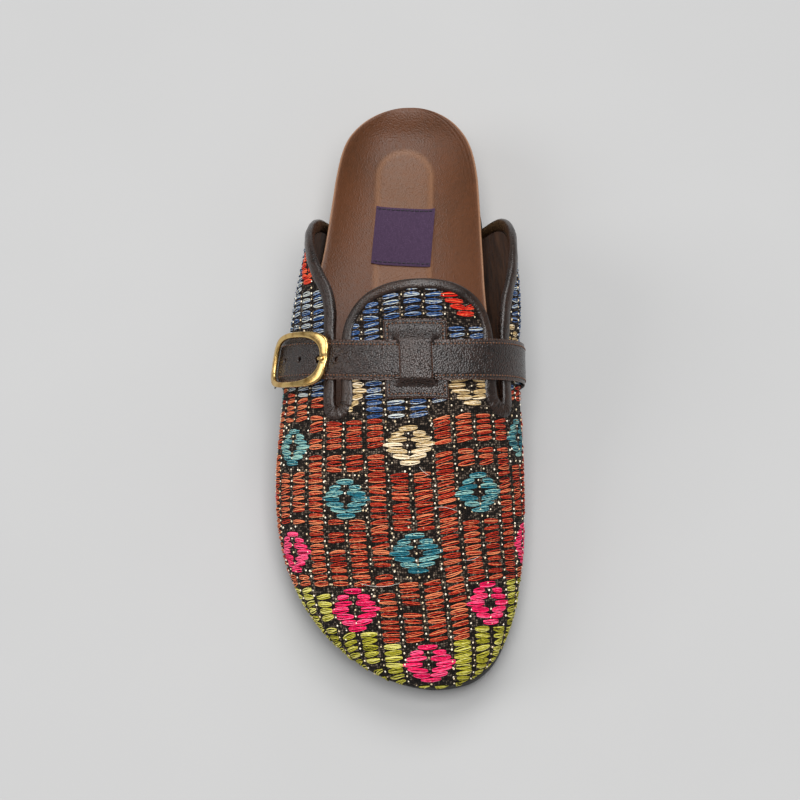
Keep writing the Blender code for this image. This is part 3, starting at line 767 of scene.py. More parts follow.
class Yarn(Enum):
    """Dyed yarns of the weave, each with its finish."""

    BRICK = WoolYarn("wool_brick", "#3c0805", "#b42c1a", "#e88c5e")
    BLUE = WoolYarn("wool_blue", "#141e32", "#3a5f96", "#d2d6cc")
    OLIVE = WoolYarn("wool_olive", "#4a480c", "#b4ac2e", "#e6de84")
    TEAL = WoolYarn("wool_teal", "#0b323b", "#236e7e", "#a0cabc")
    CREAM = WoolYarn("wool_cream", "#6e4f2c", "#c8aa76", "#f8e8ca")
    PINK = WoolYarn("wool_pink", "#8c0636", "#f60e58", "#ff6c98")
    SCARLET = WoolYarn("wool_scarlet", "#8a0808", "#d01a10", "#ec6a44")
    DOT = WoolYarn("cotton_dot", "#a88c68", "#ecd6ae", "#fff4de")

    @property
    def number(self) -> int:
        """Place of the yarn in the list."""
        return list(Yarn).index(self)


# Dark wool ground of the upper, and the fine satin of the label, both painted darker between their threads as
# shade.
KILIM_GROUND = PlainWeave("kilim_ground", (1.2, 1.0), "#060403", "#33271f", "#8a7a6a", 0.2, sway=1.6)
LABEL_CLOTH = PlainWeave("label_satin", (0.6, 0.6), "#4c3952", "#5b4560", "#624c68", 0.1, gloss=0.7)
# Grained strap leather, the smoother leather of the bead, and the flat leather underfoot; the hollows of
# their grain are painted darker as shade, and the pebble tops of the strap and bead carry a painted glint.
DARK_LEATHER = Leather("strap_leather", "#0a0504", "#2a1811", "#6e4630", 0.85, 0.2, 0.24, glint_share=0.1,
                       shine=0.6)
BEAD_LEATHER = Leather("bead_leather", "#0c0604", "#2b1911", "#553c2c", 0.8, 0.1, 0.3, coat=0.1, glint_share=0.05)
INSOLE_LEATHER = Leather("footbed_leather", "#4c2d18", "#5a3319", "#9a7256", 0.8, 0.09, 0.46, patch=40.0,
                         shine=0.36, pits=0.22)
SUEDE = Suede()
CORK = PressedCork()
# Moulded sole rubber: black and dull, with a fine stippled skin and a little dust.
RUBBER = Mottled("sole_rubber", "#101010", "#2b2926", 14.0, (0.4, 0.75), 0.62, grit=0.7, relief=0.15,
                 specular=0.4)
# Polished cast brass: a warm mirror with hair scratches and a faint tarnish in patches.
BRASS = Mottled("polished_brass", "#a47c40", "#d9b878", 4.0, (0.25, 0.55), 0.18, swing=0.1, grit=0.35,
                relief=0.008, metallic=1.0)
STRAP_THREAD = WaxedThread("strap_thread", "#482a18", "#7c4c2c")
# Near-black beads: painted shade standing in for the needle holes.
NEEDLE_HOLE_SHADE = WaxedThread("needle_hole_shade", "#040202", "#0a0605")
STRAY_WOOL = WaxedThread("stray_wool", "#b0a89e", "#e2dcd4")
LABEL_THREAD = WaxedThread("label_thread", "#0d0912", "#1e1628")
# Matt studio paper: an even pale grey with the faintest mottling.
PAPER = Mottled("paper_sweep", "#aeaeae", "#b0b0b0", 160.0, (0.3, 0.7), 0.95, specular=0.1)


# Sole and last

@dataclass
class SolePlan:
    """Plan outline and heights of the outsole and the footbed, in millimetres."""

    length: float = 305.0
    outsole_thickness: float = 9.0
    toe_thinning: float = 2.0
    spring_start: float = 208.0
    spring_rise: float = 10.0
    heel_bevel_length: float = 9.0
    heel_bevel_rise: float = 1.5
    rim_power: float = 3.0
    lip_width: float = 3.0
    lip_drop: float = 1.0
    upper_inset: float = 0.6
    heel_tip: Pair = (0.0, 0.0)
    toe_tip: Pair = (303.0, 14.0)
    outline_step: float = 0.5
    heel_steps: int = 300
    edge: Table = table(
        "station lateral medial",
        (1.5, 9.8, 9.4), (6, 19.0, 17.8), (16, 28.6, 26.6), (40, 36.8, 34.8), (58, 40.2, 37.4),
        (80, 43.4, 39.0), (104, 47.6, 40.6), (138, 53.8, 45.0), (170, 58.5, 51.8), (200, 60.4, 55.6),
        (228, 57.6, 56.0), (252, 50.0, 54.0), (274, 36.8, 49.6), (290, 20.5, 42.0), (300, 3.0, 30.0))
    inset: Table = table(
        "station foot rim",
        (0, 0.9, 0.0), (12, 0.9, -0.9), (25, 0.9, -0.6), (37, 2.2, 0.1), (48, 4.2, 1.1), (58, 4.2, 1.6),
        (95, 4.2, 1.9), (120, 4.2, 2.2), (150, 4.2, 3.4), (170, 4.2, 4.2), (230, 4.4, 4.4), (270, 6.0, 6.0),
        (303, 7.0, 7.0))
    footbed: Table = table(
        "station middle lateral medial",
        (0, 41.5, 41.5, 41.5), (4, 39.2, 41.5, 41.5), (12, 33.4, 41.5, 41.5), (26, 29.0, 41.2, 41.4),
        (50, 28.4, 40.0, 41.0), (80, 29.2, 37.5, 40.5), (110, 29.4, 35.0, 39.5), (140, 27.6, 32.0, 36.0),
        (175, 23.4, 27.5, 29.5), (210, 20.6, 24.0, 24.8), (250, 20.8, 23.6, 24.0), (303, 26.0, 27.5, 27.8))

    def __post_init__(self) -> None:
        """Work out the pairs of plan edges."""
        self.sole_edges = self.edges(0.0)
        self.upper_edges = self.edges(self.upper_inset)
        self.foot_edges = self.edges("foot")
        self.rim_edges = self.edges("rim")

    def outline(self) -> Array:
        """Closed outline of the outsole: a smooth curve through the rows of the edge table.

        Returns:
            Station and X of each point.
        """
        lateral = stack(self.edge["station"], -self.edge["lateral"])
        medial = stack(self.edge["station"], self.edge["medial"])
        points = np.concatenate([[self.heel_tip], lateral, [self.toe_tip], medial[::-1]])
        path = smooth_path(points[np.arange(-3, len(points) + 4) % len(points)], self.outline_step)
        away = np.linalg.norm(path - self.heel_tip, axis=1)
        start = int(np.argmin(away[:self.heel_steps]))
        beyond = start + self.heel_steps
        return path[start:beyond + int(np.argmin(away[beyond:]))]

    def edges(self, inset: float | str) -> tuple[Array, Array]:
        """Lateral and medial edge, drawn in square to the outline.

        Args:
            inset: Size drawn in, or a column of the footbed's table.

        Returns:
            Station and X of the lateral and of the medial edge.
        """
        path = self.outline()
        along = unit(np.roll(path, -1, axis=0) - np.roll(path, 1, axis=0))
        inward = stack(-along[:, 1], along[:, 0])
        drawn = smooth(path[:, 0], self.inset, inset) if isinstance(inset, str) else inset
        path = path + inward * np.broadcast_to(drawn, len(path))[:, None]
        path = np.roll(path, -int(np.argmin(path[:, 0])), axis=0)
        tip = int(np.argmax(path[:, 0]))
        return path[:tip + 1], np.concatenate([path[tip:], path[:1]])[::-1]

    def spring(self, station: Array) -> Array:
        """Share of the toe spring at a station."""
        return np.clip((station - self.spring_start) / (self.toe_tip[0] - self.spring_start), 0.0, None)

    def bottom(self, station: Array) -> Array:
        """Underside of the outsole: flat, bevelled at the heel and lifted at the toe."""
        heel = np.clip(1.0 - station / self.heel_bevel_length, 0.0, 1.0)
        return self.spring_rise * self.spring(station)**2 + self.heel_bevel_rise * heel**2

    def top(self, station: Array) -> Array:
        """Upper side of the outsole."""
        toe = self.spring(station)
        return self.outsole_thickness + self.spring_rise * toe**2 - self.toe_thinning * np.clip(toe, 0.0, 1.0)

    def bed(self, station: Array, x: Array) -> Array:
        """Top of the footbed: the middle raised to the rim by a power of the share across, then a lip.

        Args:
            station: Stations.
            x: Places across.

        Returns:
            Heights.
        """
        lateral, medial = edges_at(station, self.rim_edges)
        half = 0.5 * (medial - lateral)
        side = np.clip((x - 0.5 * (lateral + medial)) / np.maximum(half, 0.1), -1.0, 1.0)
        rim = np.where(side < 0.0, smooth(station, self.footbed, "lateral"),
                       smooth(station, self.footbed, "medial"))
        base = smooth(station, self.footbed, "middle")
        from_edge = np.minimum(half * (1.0 - np.abs(side)), station - self.rim_edges[0][0, 0])
        lip = np.clip(1.0 - from_edge / self.lip_width, 0.0, 1.0)
        return base + (rim - base) * np.abs(side)**self.rim_power - self.lip_drop * lip**2


def edges_at(station: Array, edges: tuple[Array, Array]) -> tuple[Array, Array]:
    """X of the lateral and the medial edge at each station."""
    return tuple(np.interp(station, edge[:, 0], edge[:, 1]) for edge in edges)


@dataclass
class Last:
    """Outer form of the upper, read by station and by length across from the ridge, in millimetres."""

    sole: SolePlan
    rear: float = 46.0
    cap_start: float = 246.0
    cap_end: float = 302.5
    cap_power: float = 2.3
    toe_swell: float = 2.2
    swell_start: float = 225.0
    swell_height: float = 34.0
    columns: int = 96
    back_rows: int = 300
    cap_rows: int = 120
    curve_points: int = 161
    sections: Table = table(
        "station ridge middle lat_flare lat_turn lat_full med_flare med_turn med_full",
        (46, 116.0, 3, 12, 0.72, 0.82, 24, 0.75, 0.85),
        (70, 111.0, 3, 15, 0.72, 0.82, 32, 0.75, 0.87),
        (95, 105.0, 4, 18, 0.70, 0.74, 37, 0.74, 0.90),
        (120, 96.5, 5, 21, 0.62, 0.62, 36, 0.68, 0.92),
        (145, 87.5, 6, 18, 0.54, 0.56, 25, 0.62, 0.90),
        (170, 78.5, 7, 15, 0.50, 0.54, 16, 0.56, 0.84),
        (200, 68.5, 8, 13, 0.50, 0.55, 11, 0.55, 0.74),
        (228, 60.5, 9, 12, 0.52, 0.58, 10, 0.56, 0.68),
        (252, 54.5, 10, 11, 0.54, 0.60, 10, 0.56, 0.64),
        (275, 49.5, 12, 9, 0.56, 0.60, 9, 0.56, 0.62),
        (303, 44.0, 14, 6, 0.56, 0.60, 6, 0.56, 0.60))

    def __post_init__(self) -> None:
        """Work out the grid of points, its outward directions and the length along the ridge."""
        back = np.linspace(self.rear, self.cap_start, self.back_rows, endpoint=False)
        turn = np.linspace(0.0, np.pi / 2, self.cap_rows)
        front = self.cap_start + (self.cap_end - self.cap_start) * np.sin(turn)
        self.stations = np.concatenate([back, front])
        lateral, self.lateral_reach = self.side("lat", -1.0)
        medial, self.medial_reach = self.side("med", 1.0)
        self.surface = np.concatenate([lateral, medial[:, ::-1][:, 1:]], axis=1)
        over, along = np.gradient(self.surface, axis=1), np.gradient(self.surface, axis=0)
        self.normal = unit(np.cross(along, over))
        self.ridge_length = lengths(self.surface[:, self.columns])

    def side(self, key: str, sign: float) -> tuple[Array, Array]:
        """One side of every section: a cubic Bezier from the sole to the ridge, evenly spaced.

        Args:
            key: Start of the side's column names.
            sign: -1 for the lateral side, 1 for the medial side.

        Returns:
            Points by section and place, and each section's length.
        """
        s = self.stations
        cap = np.clip((s - self.cap_start) / (self.cap_end - self.cap_start), 0.0, 1.0)
        cap = (1.0 - cap**self.cap_power)**(1.0 / self.cap_power)
        base = self.sole.top(s) + GAP
        ridge = base + (smooth(s, self.sections, "ridge") - base) * cap
        lateral, medial = edges_at(s, self.sole.upper_edges)
        edge = lateral if sign < 0.0 else medial
        middle = np.clip(smooth(s, self.sections, "middle"), lateral, medial)
        flare = smooth(s, self.sections, key + "_flare") * cap
        turn, full = (smooth(s, self.sections, key + name) for name in ("_turn", "_full"))
        weights = bezier(np.linspace(0.0, 1.0, self.curve_points))
        x = stack(edge, edge + sign * flare, middle + full * (edge - middle), middle) @ weights
        z = stack(base, base + turn * (ridge - base), ridge, ridge) @ weights
        length = np.cumsum(np.hypot(np.diff(x, axis=1), np.diff(z, axis=1)), axis=1)
        length = np.concatenate([np.zeros((len(s), 1)), length], axis=1)
        share = np.linspace(0.0, 1.0, self.columns + 1)
        points = np.empty((len(s), self.columns + 1, 3))
        for row in range(len(s)):
            at = share * length[row, -1]
            points[row, :, 0] = np.interp(at, length[row], x[row])
            points[row, :, 2] = np.interp(at, length[row], z[row])
        rise = np.clip((points[:, :, 2] - base[:, None]) / self.swell_height, 0.0, 1.0)
        swell = np.clip((s - self.swell_start) / (self.cap_end - self.swell_start), 0.0, 1.0)**2
        forward = self.toe_swell * swell[:, None] * np.sin(np.pi * rise)
        points[:, :, 1] = self.sole.length / 2 - s[:, None] - forward
        return points, length[:, -1]

    def reach(self, station: Array, across: Array) -> Array:
        """Length from the ridge to the sole on the side of each point."""
        sides = [np.interp(station, self.stations, side) for side in (self.lateral_reach, self.medial_reach)]
        return np.where(np.asarray(across) < 0.0, *sides)

    def blend(self, values: Array, station: Array, across: Array) -> Array:
        """Values of a point grid, linear between its rows and columns.

        Args:
            values: Grid of the same rows and columns as the surface.
            station: Stations.
            across: Lengths across from the ridge.

        Returns:
            The blended values.
        """
        row = np.interp(station, self.stations, np.arange(len(self.stations)))
        column = self.columns * (1.0 + np.clip(across / self.reach(station, across), -1.0, 1.0))
        i = np.minimum(row.astype(int), values.shape[0] - 2)
        j = np.minimum(column.astype(int), values.shape[1] - 2)
        a, b = (row - i)[..., None], (column - j)[..., None]
        near = (1 - b) * values[i, j] + b * values[i, j + 1]
        far = (1 - b) * values[i + 1, j] + b * values[i + 1, j + 1]
        return (1 - a) * near + a * far

    def facing(self, station: Array, across: Array) -> Array:
        """Outward direction at each point."""
        return unit(self.blend(self.normal, station, across))

    def point(self, station: Array, across: Array, lift: Array | float = 0.0) -> Array:
        """Point on the surface, lifted along its outward direction.

        Args:
            station: Stations.
            across: Lengths across from the ridge.
            lift: Height over the surface.

        Returns:
            Points in space.
        """
        station, across = np.broadcast_arrays(np.asarray(station, float), np.asarray(across, float))
        raised = np.broadcast_to(lift, station.shape)[..., None] * self.facing(station, across)
        return self.blend(self.surface, station, across) + raised

    def across_at_height(self, station: float, height: float, sign: float) -> float:
        """Length across from the ridge where the wall has a height.

        Args:
            station: Station of the section.
            height: Height over the floor.
            sign: -1 for the lateral side, 1 for the medial side.

        Returns:
            The length across, with the side's sign.
        """
        row = float(np.interp(station, self.stations, np.arange(len(self.stations))))
        low = int(row)
        high = min(low + 1, len(self.stations) - 1)
        profile = (1 - row + low) * self.surface[low, :, 2] + (row - low) * self.surface[high, :, 2]
        share = np.linspace(1.0, 0.0, self.columns + 1)
        half = profile[:self.columns + 1] if sign < 0.0 else profile[self.columns:][::-1]
        return sign * float(np.interp(height, half, share)) * float(self.reach(station, sign))


@dataclass
class Collar:
    """Edge of the upper from the outer foot over the wings, slits and tongue to the inner foot."""

    last: Last
    wings: Table = table(
        "station lateral medial",
        (61, 9.3, 9.3), (65, 25.0, 25.0), (71, 40.0, 40.0), (78, 51.0, 50.5), (86, 60.0, 58.2),
        (95, 67.0, 63.8), (104, 71.5, 66.8), (115, 74.6, 68.8), (126, 76.0, 69.4), (133, 74.6, 67.8))
    slits: Table = table(
        "across half_width wing_start tongue_start end",
        (-39.4, 8.2, 141, 150, 184.5),
        (44.2, 9.4, 138, 149, 180.5))
    tongue: Table = table(
        "station across",
        (143.0, -29.2), (138.0, -25.2), (134.6, -20.0), (132.4, -13.6), (131.0, -5.8), (130.3, 2.6),
        (130.2, 11.0), (131.3, 20.2), (133.6, 26.2), (137.4, 31.0), (142.6, 34.0))

    def wing(self, name: str, sign: float) -> list[Pair]:
        """Station and across of one wing's edge, from the sole up to the slit."""
        rows = zip(self.wings["station"], self.wings[name])
        return [(station, self.last.across_at_height(station, height, sign)) for station, height in rows]

    def slit(self, index: int, sign: float) -> list[Pair]:
        """Station and across round one slit: two straight sides and a half circle.

        Args:
            index: Row of the slit table.
            sign: -1 for the lateral slit, 1 for the medial slit.

        Returns:
            The points from the wing to the tongue.
        """
        middle, half, wing_start, tongue_start, end = (self.slits[key][index] for key in self.slits)
        turn = end - half
        points = [(s, middle + sign * half) for s in np.linspace(wing_start, turn, 4)[:-1]]
        points += [(turn + half * np.sin(a), middle + sign * half * np.cos(a))
                   for a in np.linspace(0.0, np.pi, 9)]
        return points + [(s, middle - sign * half) for s in np.linspace(turn, tongue_start, 4)[1:]]

    def path(self) -> Array:
        """Smooth line along the whole collar.

        Returns:
            Station and across of each point.
        """
        points = self.wing("lateral", -1.0) + self.slit(0, -1.0)
        points += list(zip(self.tongue["station"], self.tongue["across"]))
        return smooth_path(points + self.slit(1, 1.0)[::-1] + self.wing("medial", 1.0)[::-1], 0.6)

    def base(self) -> Array:
        """Lower edge, from the inner foot round the toe to the outer foot.

        Returns:
            Station and across of each point.
        """
        start = self.wings["station"][0]
        row = np.concatenate([[start], self.last.stations[self.last.stations > start]])
        medial = stack(row, self.last.reach(row, np.ones(len(row))))
        lateral = stack(row, -self.last.reach(row, -np.ones(len(row))))
        return np.concatenate([medial, lateral[::-1]])

    def sheet(self, path: Array) -> Array:
        """Places on the flattened sheet: length along the ridge, and across."""
        length = np.interp(path[:, 0], self.last.stations, self.last.ridge_length)
        return stack(length, path[:, 1])

    def border(self, step: float) -> Array:
        """Closed border of the flattened sheet, in steps of a length in space.

        Args:
            step: Length of a step.

        Returns:
            Places on the sheet.
        """
        parts = [pick(part, even_steps(self.last.point(part[:, 0], part[:, 1]), step))[:-1]
                 for part in (self.path(), self.base())]
        return self.sheet(np.concatenate(parts))


def inside(points: Array, border: Array, margin: float | Array) -> Array:
    """Which plane points lie deeper inside a closed border than a margin.

    Args:
        points: Plane points.
        border: Corners of the border in order.
        margin: Least depth behind the border; a negative one takes in points just outside.

    Returns:
        True for each point that lies deep enough.
    """
    start, finish = border, np.roll(border, -1, axis=0)
    px, py = points[:, 0][:, None], points[:, 1][:, None]
    rise = np.where(finish[:, 1] == start[:, 1], 1e-9, finish[:, 1] - start[:, 1])
    hit = start[:, 0] + (py - start[:, 1]) * (finish[:, 0] - start[:, 0]) / rise
    count = np.sum(((start[:, 1] > py) != (finish[:, 1] > py)) & (px < hit), axis=1)
    edge = finish - start
    length = np.maximum(np.sum(edge**2, axis=1), 1e-9)
    t = np.clip(((px - start[:, 0]) * edge[:, 0] + (py - start[:, 1]) * edge[:, 1]) / length, 0.0, 1.0)
    away = np.hypot(px - start[:, 0] - t * edge[:, 0], py - start[:, 1] - t * edge[:, 1])
    return np.where(count % 2 == 1, 1.0, -1.0) * away.min(axis=1) > margin


# Sole pieces

def plate(over: tuple[Array, Array], under: tuple[Array, Array], length: float, top: Height, bottom: Height,
          rows: int, columns: int, rounding: float, bulge: float = 0.0) -> Array:
    """Rings of a plate between two plan outlines: across the bottom, up one side, back over the top, down.

    Args:
        over: Lateral and medial edge of the upper side.
        under: Lateral and medial edge of the lower side.
        length: Length that the stations are measured against.
        top: Height of the upper side by station and X.
        bottom: Height of the lower side by station and X.
        rows: Number of rings.
        columns: Points across each side.
        rounding: Size by which the corners are drawn in.
        bulge: Size by which the side walls swell out.

    Returns:
        Points by ring and place on the ring.
    """
    end_gap, narrowest, wall_points = 0.04, 0.3, 9
    faces, corners = [], []
    for edges, height in ((under, bottom), (over, top)):
        first = max(edge[0, 0] for edge in edges) + end_gap
        last = min(edge[-1, 0] for edge in edges) - end_gap
        station = (first + (last - first) * (1.0 + crowded(rows)) / 2)[:, None]
        lateral, medial = edges_at(station, edges)
        half, middle = 0.5 * (medial - lateral), 0.5 * (lateral + medial)
        drawn = np.minimum(rounding, narrowest * half)
        x = middle + (half - drawn) * crowded(columns)
        s = np.broadcast_to(station, x.shape)
        faces.append(stack(x, length / 2 - s, np.broadcast_to(height(s, x), x.shape)))
        corners.append(faces[-1][:, [-1, 0], None])
    level = np.linspace(0.0, 1.0, wall_points)[1:-1]
    walls = corners[0] + level[:, None] * (corners[1] - corners[0])
    swell = bulge * np.sin(np.pi * level) + drawn * (1.0 - np.abs(2 * level - 1.0)**4)
    walls[..., 0] += swell[:, None] * np.array([[[1.0], [-1.0]]])
    return np.concatenate([faces[0], walls[:, 0], faces[1][:, ::-1], walls[:, 1, ::-1]], axis=1)


@dataclass
class Sole:
    """Outsole with tread, cork footbed and leather insole, in millimetres."""

    plan: SolePlan
    insole_thickness: float = 1.2
    insole_gap: float = 0.4
    tread_pitch: float = 5.2
    tread_depth: float = 0.8
    tread_wave: float = 2.4
    tread_wave_length: float = 17.0
    tread_margin: float = 7.0
    tread_fade: float = 2.0
    tread_ends: Pair = (6.0, 296.0)
    toe_draw: float = 2.0
    toe_draw_stations: Pair = (225.0, 275.0)
    toe_draw_across: Pair = (20.0, 48.0)
    press_middle: float = -2.6
    press_half_width: float = 14.8
    press_slope: Pair = (3.4, 0.8)
    press_heel: float = 18.5
    press_depth: float = 0.9
    press_end: float = 150.0
    press_fade: float = 60.0
    rim_crease: float = 0.22
    rim_crease_pitch: float = 1.7
    rim_crease_start: Pair = (0.8, 1.8)
    rim_crease_end: Pair = (3.5, 7.0)
    rim_crease_stations: Pair = (25.0, 60.0)
    rim_crease_across: Pair = (0.0, 12.0)
    worn_edge: Pair = (0.2, 1.3)

    def tread(self, station: Array, x: Array) -> Array:
        """Underside with wavy grooves: a squared sine of the station, bent by a sine across.

        Args:
            station: Stations.
            x: Places across.

        Returns:
            Heights.
        """
        back, front = self.tread_ends
        away = np.minimum(self.from_edge(station, x, self.plan.sole_edges),
                          np.minimum(station - back, front - station))
        wave = station + self.tread_wave * np.sin(2 * np.pi * x / self.tread_wave_length)
        groove = ease(0.2, 0.8, np.sin(2 * np.pi * wave / self.tread_pitch))
        fade = ease(0.0, self.tread_fade, away - self.tread_margin)
        return self.plan.bottom(station) + self.tread_depth * groove * fade

    def from_edge(self, station: Array, x: Array, edges: tuple[Array, Array]) -> Array:
        """Distance across to the nearer of two plan edges."""
        lateral, medial = edges_at(station, edges)
        return np.minimum(x - lateral, medial - x)

    def press(self, station: Array, x: Array) -> Array:
        """Share of the pressed channel along the heel: a half circle, then straight, fading forward.

        Args:
            station: Stations.
            x: Places across.

        Returns:
            Shares from 0 to 1.
        """
        from_turn = np.maximum(self.press_heel + self.press_half_width - station, 0.0)
        away = np.hypot(x - self.press_middle, from_turn) - self.press_half_width
        fade = 1.0 - ease(self.press_end - self.press_fade, self.press_end, station)
        return (1.0 - ease(-self.press_slope[0], self.press_slope[1], away)) * fade

    def cover(self, station: Array, x: Array) -> Array:
        """Height of the leather cover: the footbed less the channel, with fine creases at the inner heel.

        Args:
            station: Stations.
            x: Places across.

        Returns:
            Heights.
        """
        inset = self.from_edge(station, x, self.plan.rim_edges)
        where = ease(*self.rim_crease_start, inset) * (1.0 - ease(*self.rim_crease_end, inset))
        where = where * ease(*self.rim_crease_across, x) * (1.0 - ease(*self.rim_crease_stations, station))
        crease = self.rim_crease * where * np.sin(2 * np.pi * inset / self.rim_crease_pitch)
        return self.plan.bed(station, x) - self.press_depth * self.press(station, x) + crease

    def build(self) -> None:
        """Make the outsole, its toe drawn in on the outer side, and the cork and leather on it."""
        plan = self.plan
        ring = plate(plan.sole_edges, plan.sole_edges, plan.length, lambda s, x: plan.top(s), self.tread,
                     rows=360, columns=61, rounding=1.2)
        toe = ease(*self.toe_draw_stations, plan.length / 2 - ring[..., 1])
        toe = toe * (1.0 - ease(*self.toe_draw_across, ring[..., 0]))
        ring[..., :2] += self.toe_draw * toe[..., None]
        place(tube(ring), "outsole", [RUBBER], ("outsole",), 50.0)
        drop = self.insole_thickness + self.insole_gap
        ring = plate(plan.rim_edges, plan.foot_edges, plan.length, lambda s, x: plan.bed(s, x) - drop,
                     lambda s, x: plan.top(s) + GAP, rows=150, columns=31, rounding=0.4, bulge=0.9)
        place(tube(ring), "cork_footbed", [CORK], ("cork_footbed",), 60.0)
        self.build_insole()

    def build_insole(self) -> None:
        """Leather cover over the footbed, with a painted highlight along the channel's slopes, a little
        painted sheen on its floor and a worn, paler rim.
        """
        plan = self.plan
        skin = tube(plate(plan.rim_edges, plan.rim_edges, plan.length, self.cover,
                          lambda s, x: plan.bed(s, x) - self.insole_thickness,
                          rows=240, columns=81, rounding=0.3, bulge=0.1))
        station, x = plan.length / 2 - skin.points[:, 1], skin.points[:, 0]
        pressed = self.press(station, x)
        rim = 1.0 - ease(*self.worn_edge, self.from_edge(station, x, plan.rim_edges))
        # Painted highlight on the channel's slopes and a little painted sheen on its floor; the rim is worn
        # paler.
        skin.marks["wear"] = 0.2 * pressed + 1.5 * pressed * (1.0 - pressed) + 0.9 * rim
        place(skin, "insole", [INSOLE_LEATHER], ("insole",), 70.0)


@dataclass
class Label:
    """Bare satin label with a hem sewn down at both ends, in millimetres."""

    sole: Sole
    station: float = 68.0
    middle: float = -2.6
    width: float = 29.6
    length: float = 33.0
    turn: float = 0.06
    thickness: float = 0.8
    sunk: float = 0.2
    hem: float = 1.4
    hem_dip: float = 0.25
    stitch_pitch: float = 2.4
    thread_radius: float = 0.36

    def lie(self, along: Array, aside: Array, lift: Array | float) -> Array:
        """Point over the insole from places on the label.

        Args:
            along: Places along the label.
            aside: Places across it.
            lift: Height over the insole's gap.

        Returns:
            Points in space.
        """
        station = self.station + along * np.cos(self.turn) + aside * np.sin(self.turn)
        x = self.middle + aside * np.cos(self.turn) - along * np.sin(self.turn)
        height = self.sole.cover(station, x) + GAP + lift
        return stack(x, self.sole.plan.length / 2 - station, height)

    def build(self) -> None:
        """Make the label: a slab thinned at its edge and dipped along its hem, sewn at both ends."""
        half_length, half_width = self.length / 2, self.width / 2
        side = np.linspace(-1.0, 1.0, 41)
        along, aside = np.meshgrid(side * half_length, side * half_width, indexing="ij")
        inset = np.minimum(half_length - np.abs(along), half_width - np.abs(aside))
        puff = self.thickness * (0.55 + 0.45 * ease(-0.2, 0.7, inset))
        puff = puff - self.hem_dip * np.exp(-((inset - self.hem) / 0.5)**2)
        skin = slab(self.lie(along, aside, puff), self.lie(along, aside, -self.sunk))
        flat = stack(aside, along).reshape(-1, 2)
        skin.uv = np.concatenate([flat, flat])[skin.corners()]
        place(skin, "label", [LABEL_CLOTH], ("label",), 60.0)
        self.build_stitches()

    def build_stitches(self) -> None:
        """Stitches along both ends, each a short thread that dips where it enters the cloth."""
        half = np.array([self.length, self.width]) / 2 - self.hem
        square = np.array([(-1, -1), (-1, 1), (1, 1), (1, -1), (-1, -1)]) * half
        at = even_steps(np.c_[square, np.zeros(5)], self.stitch_pitch)[:-1]
        centre = pick(square, at)
        line = unit(pick(square, at + 1e-3) - centre)
        ends = np.abs(line[:, 1]) > 0.5
        t = np.linspace(-0.42, 0.42, 4)[None, :, None]
        path = centre[ends, None] + line[ends, None] * t * self.stitch_pitch
        lift = self.thickness - 0.15 + 0.12 * np.cos(t[..., 0] * np.pi)
        thread = stitches(self.lie(path[..., 0], path[..., 1], lift), self.thread_radius)
        place(thread, "label_stitches", [LABEL_THREAD])


def stitches(paths: Array, radius: float) -> Skin:
    """Short threads along paths, each a tube of six sides drawn in at its ends.

    Args:
        paths: Points by stitch and place along it.
        radius: Radius of the thread.

    Returns:
        The joined skin.
    """
    ahead = unit(np.gradient(paths, axis=1))
    aside = unit(np.cross(ahead, np.broadcast_to(np.array([0.0, 0.0, 1.0]), ahead.shape)))
    up = np.cross(aside, ahead)
    turn = round_turn(6)
    share = np.linspace(-1.0, 1.0, paths.shape[1])
    size = radius * np.sqrt(1.0 - 0.8 * share**4)[None, :, None, None]
    ring = aside[:, :, None] * np.cos(turn)[:, None] + up[:, :, None] * np.sin(turn)[:, None]
    return strands(paths[:, :, None] + size * ring, np.ones(len(paths)), {})


def sew(name: str, paths: Array, radius: float) -> None:
    """Sew a seam: its threads, and half way between each two a near-black bead sunk into the leather, painted
    shade standing in for the needle hole.

    Args:
        name: Name of the sewn piece.
        paths: Points by stitch and place along it.
        radius: Radius of the thread; a prick is a little larger.
    """
    prick, spacing = radius + 0.08, 0.39
    place(stitches(paths, radius), name + "_stitches", [STRAP_THREAD])
    # Near-black beads as painted shade in the needle holes.
    centre = paths[:, 0] + spacing * (paths[:, 0] - paths[:, -1])
    many = len(paths)
    holes = beads(centre, np.broadcast_to(np.eye(3), (many, 3, 3)), np.full((many, 3), prick))
    place(holes, name + "_needle_hole_shades", [NEEDLE_HOLE_SHADE])


# Woven upper

@dataclass
class Bars:
    """Raised bars of the weave, one value for each.

    Attributes:
        across: Middle of the bar, as length across.
        row: Middle of the bar, as fabric row length.
        half: Half of its length.
        yarn: Number of its yarn.
        lean: Row length by which its inner end lies ahead of its middle.
    """

    across: Array
    row: Array
    half: Array
    yarn: Array
    lean: Array

    def only(self, chosen: Array) -> "Bars":
        """The bars that are chosen."""
        return Bars(*(getattr(self, name)[chosen] for name in ("across", "row", "half", "yarn", "lean")))


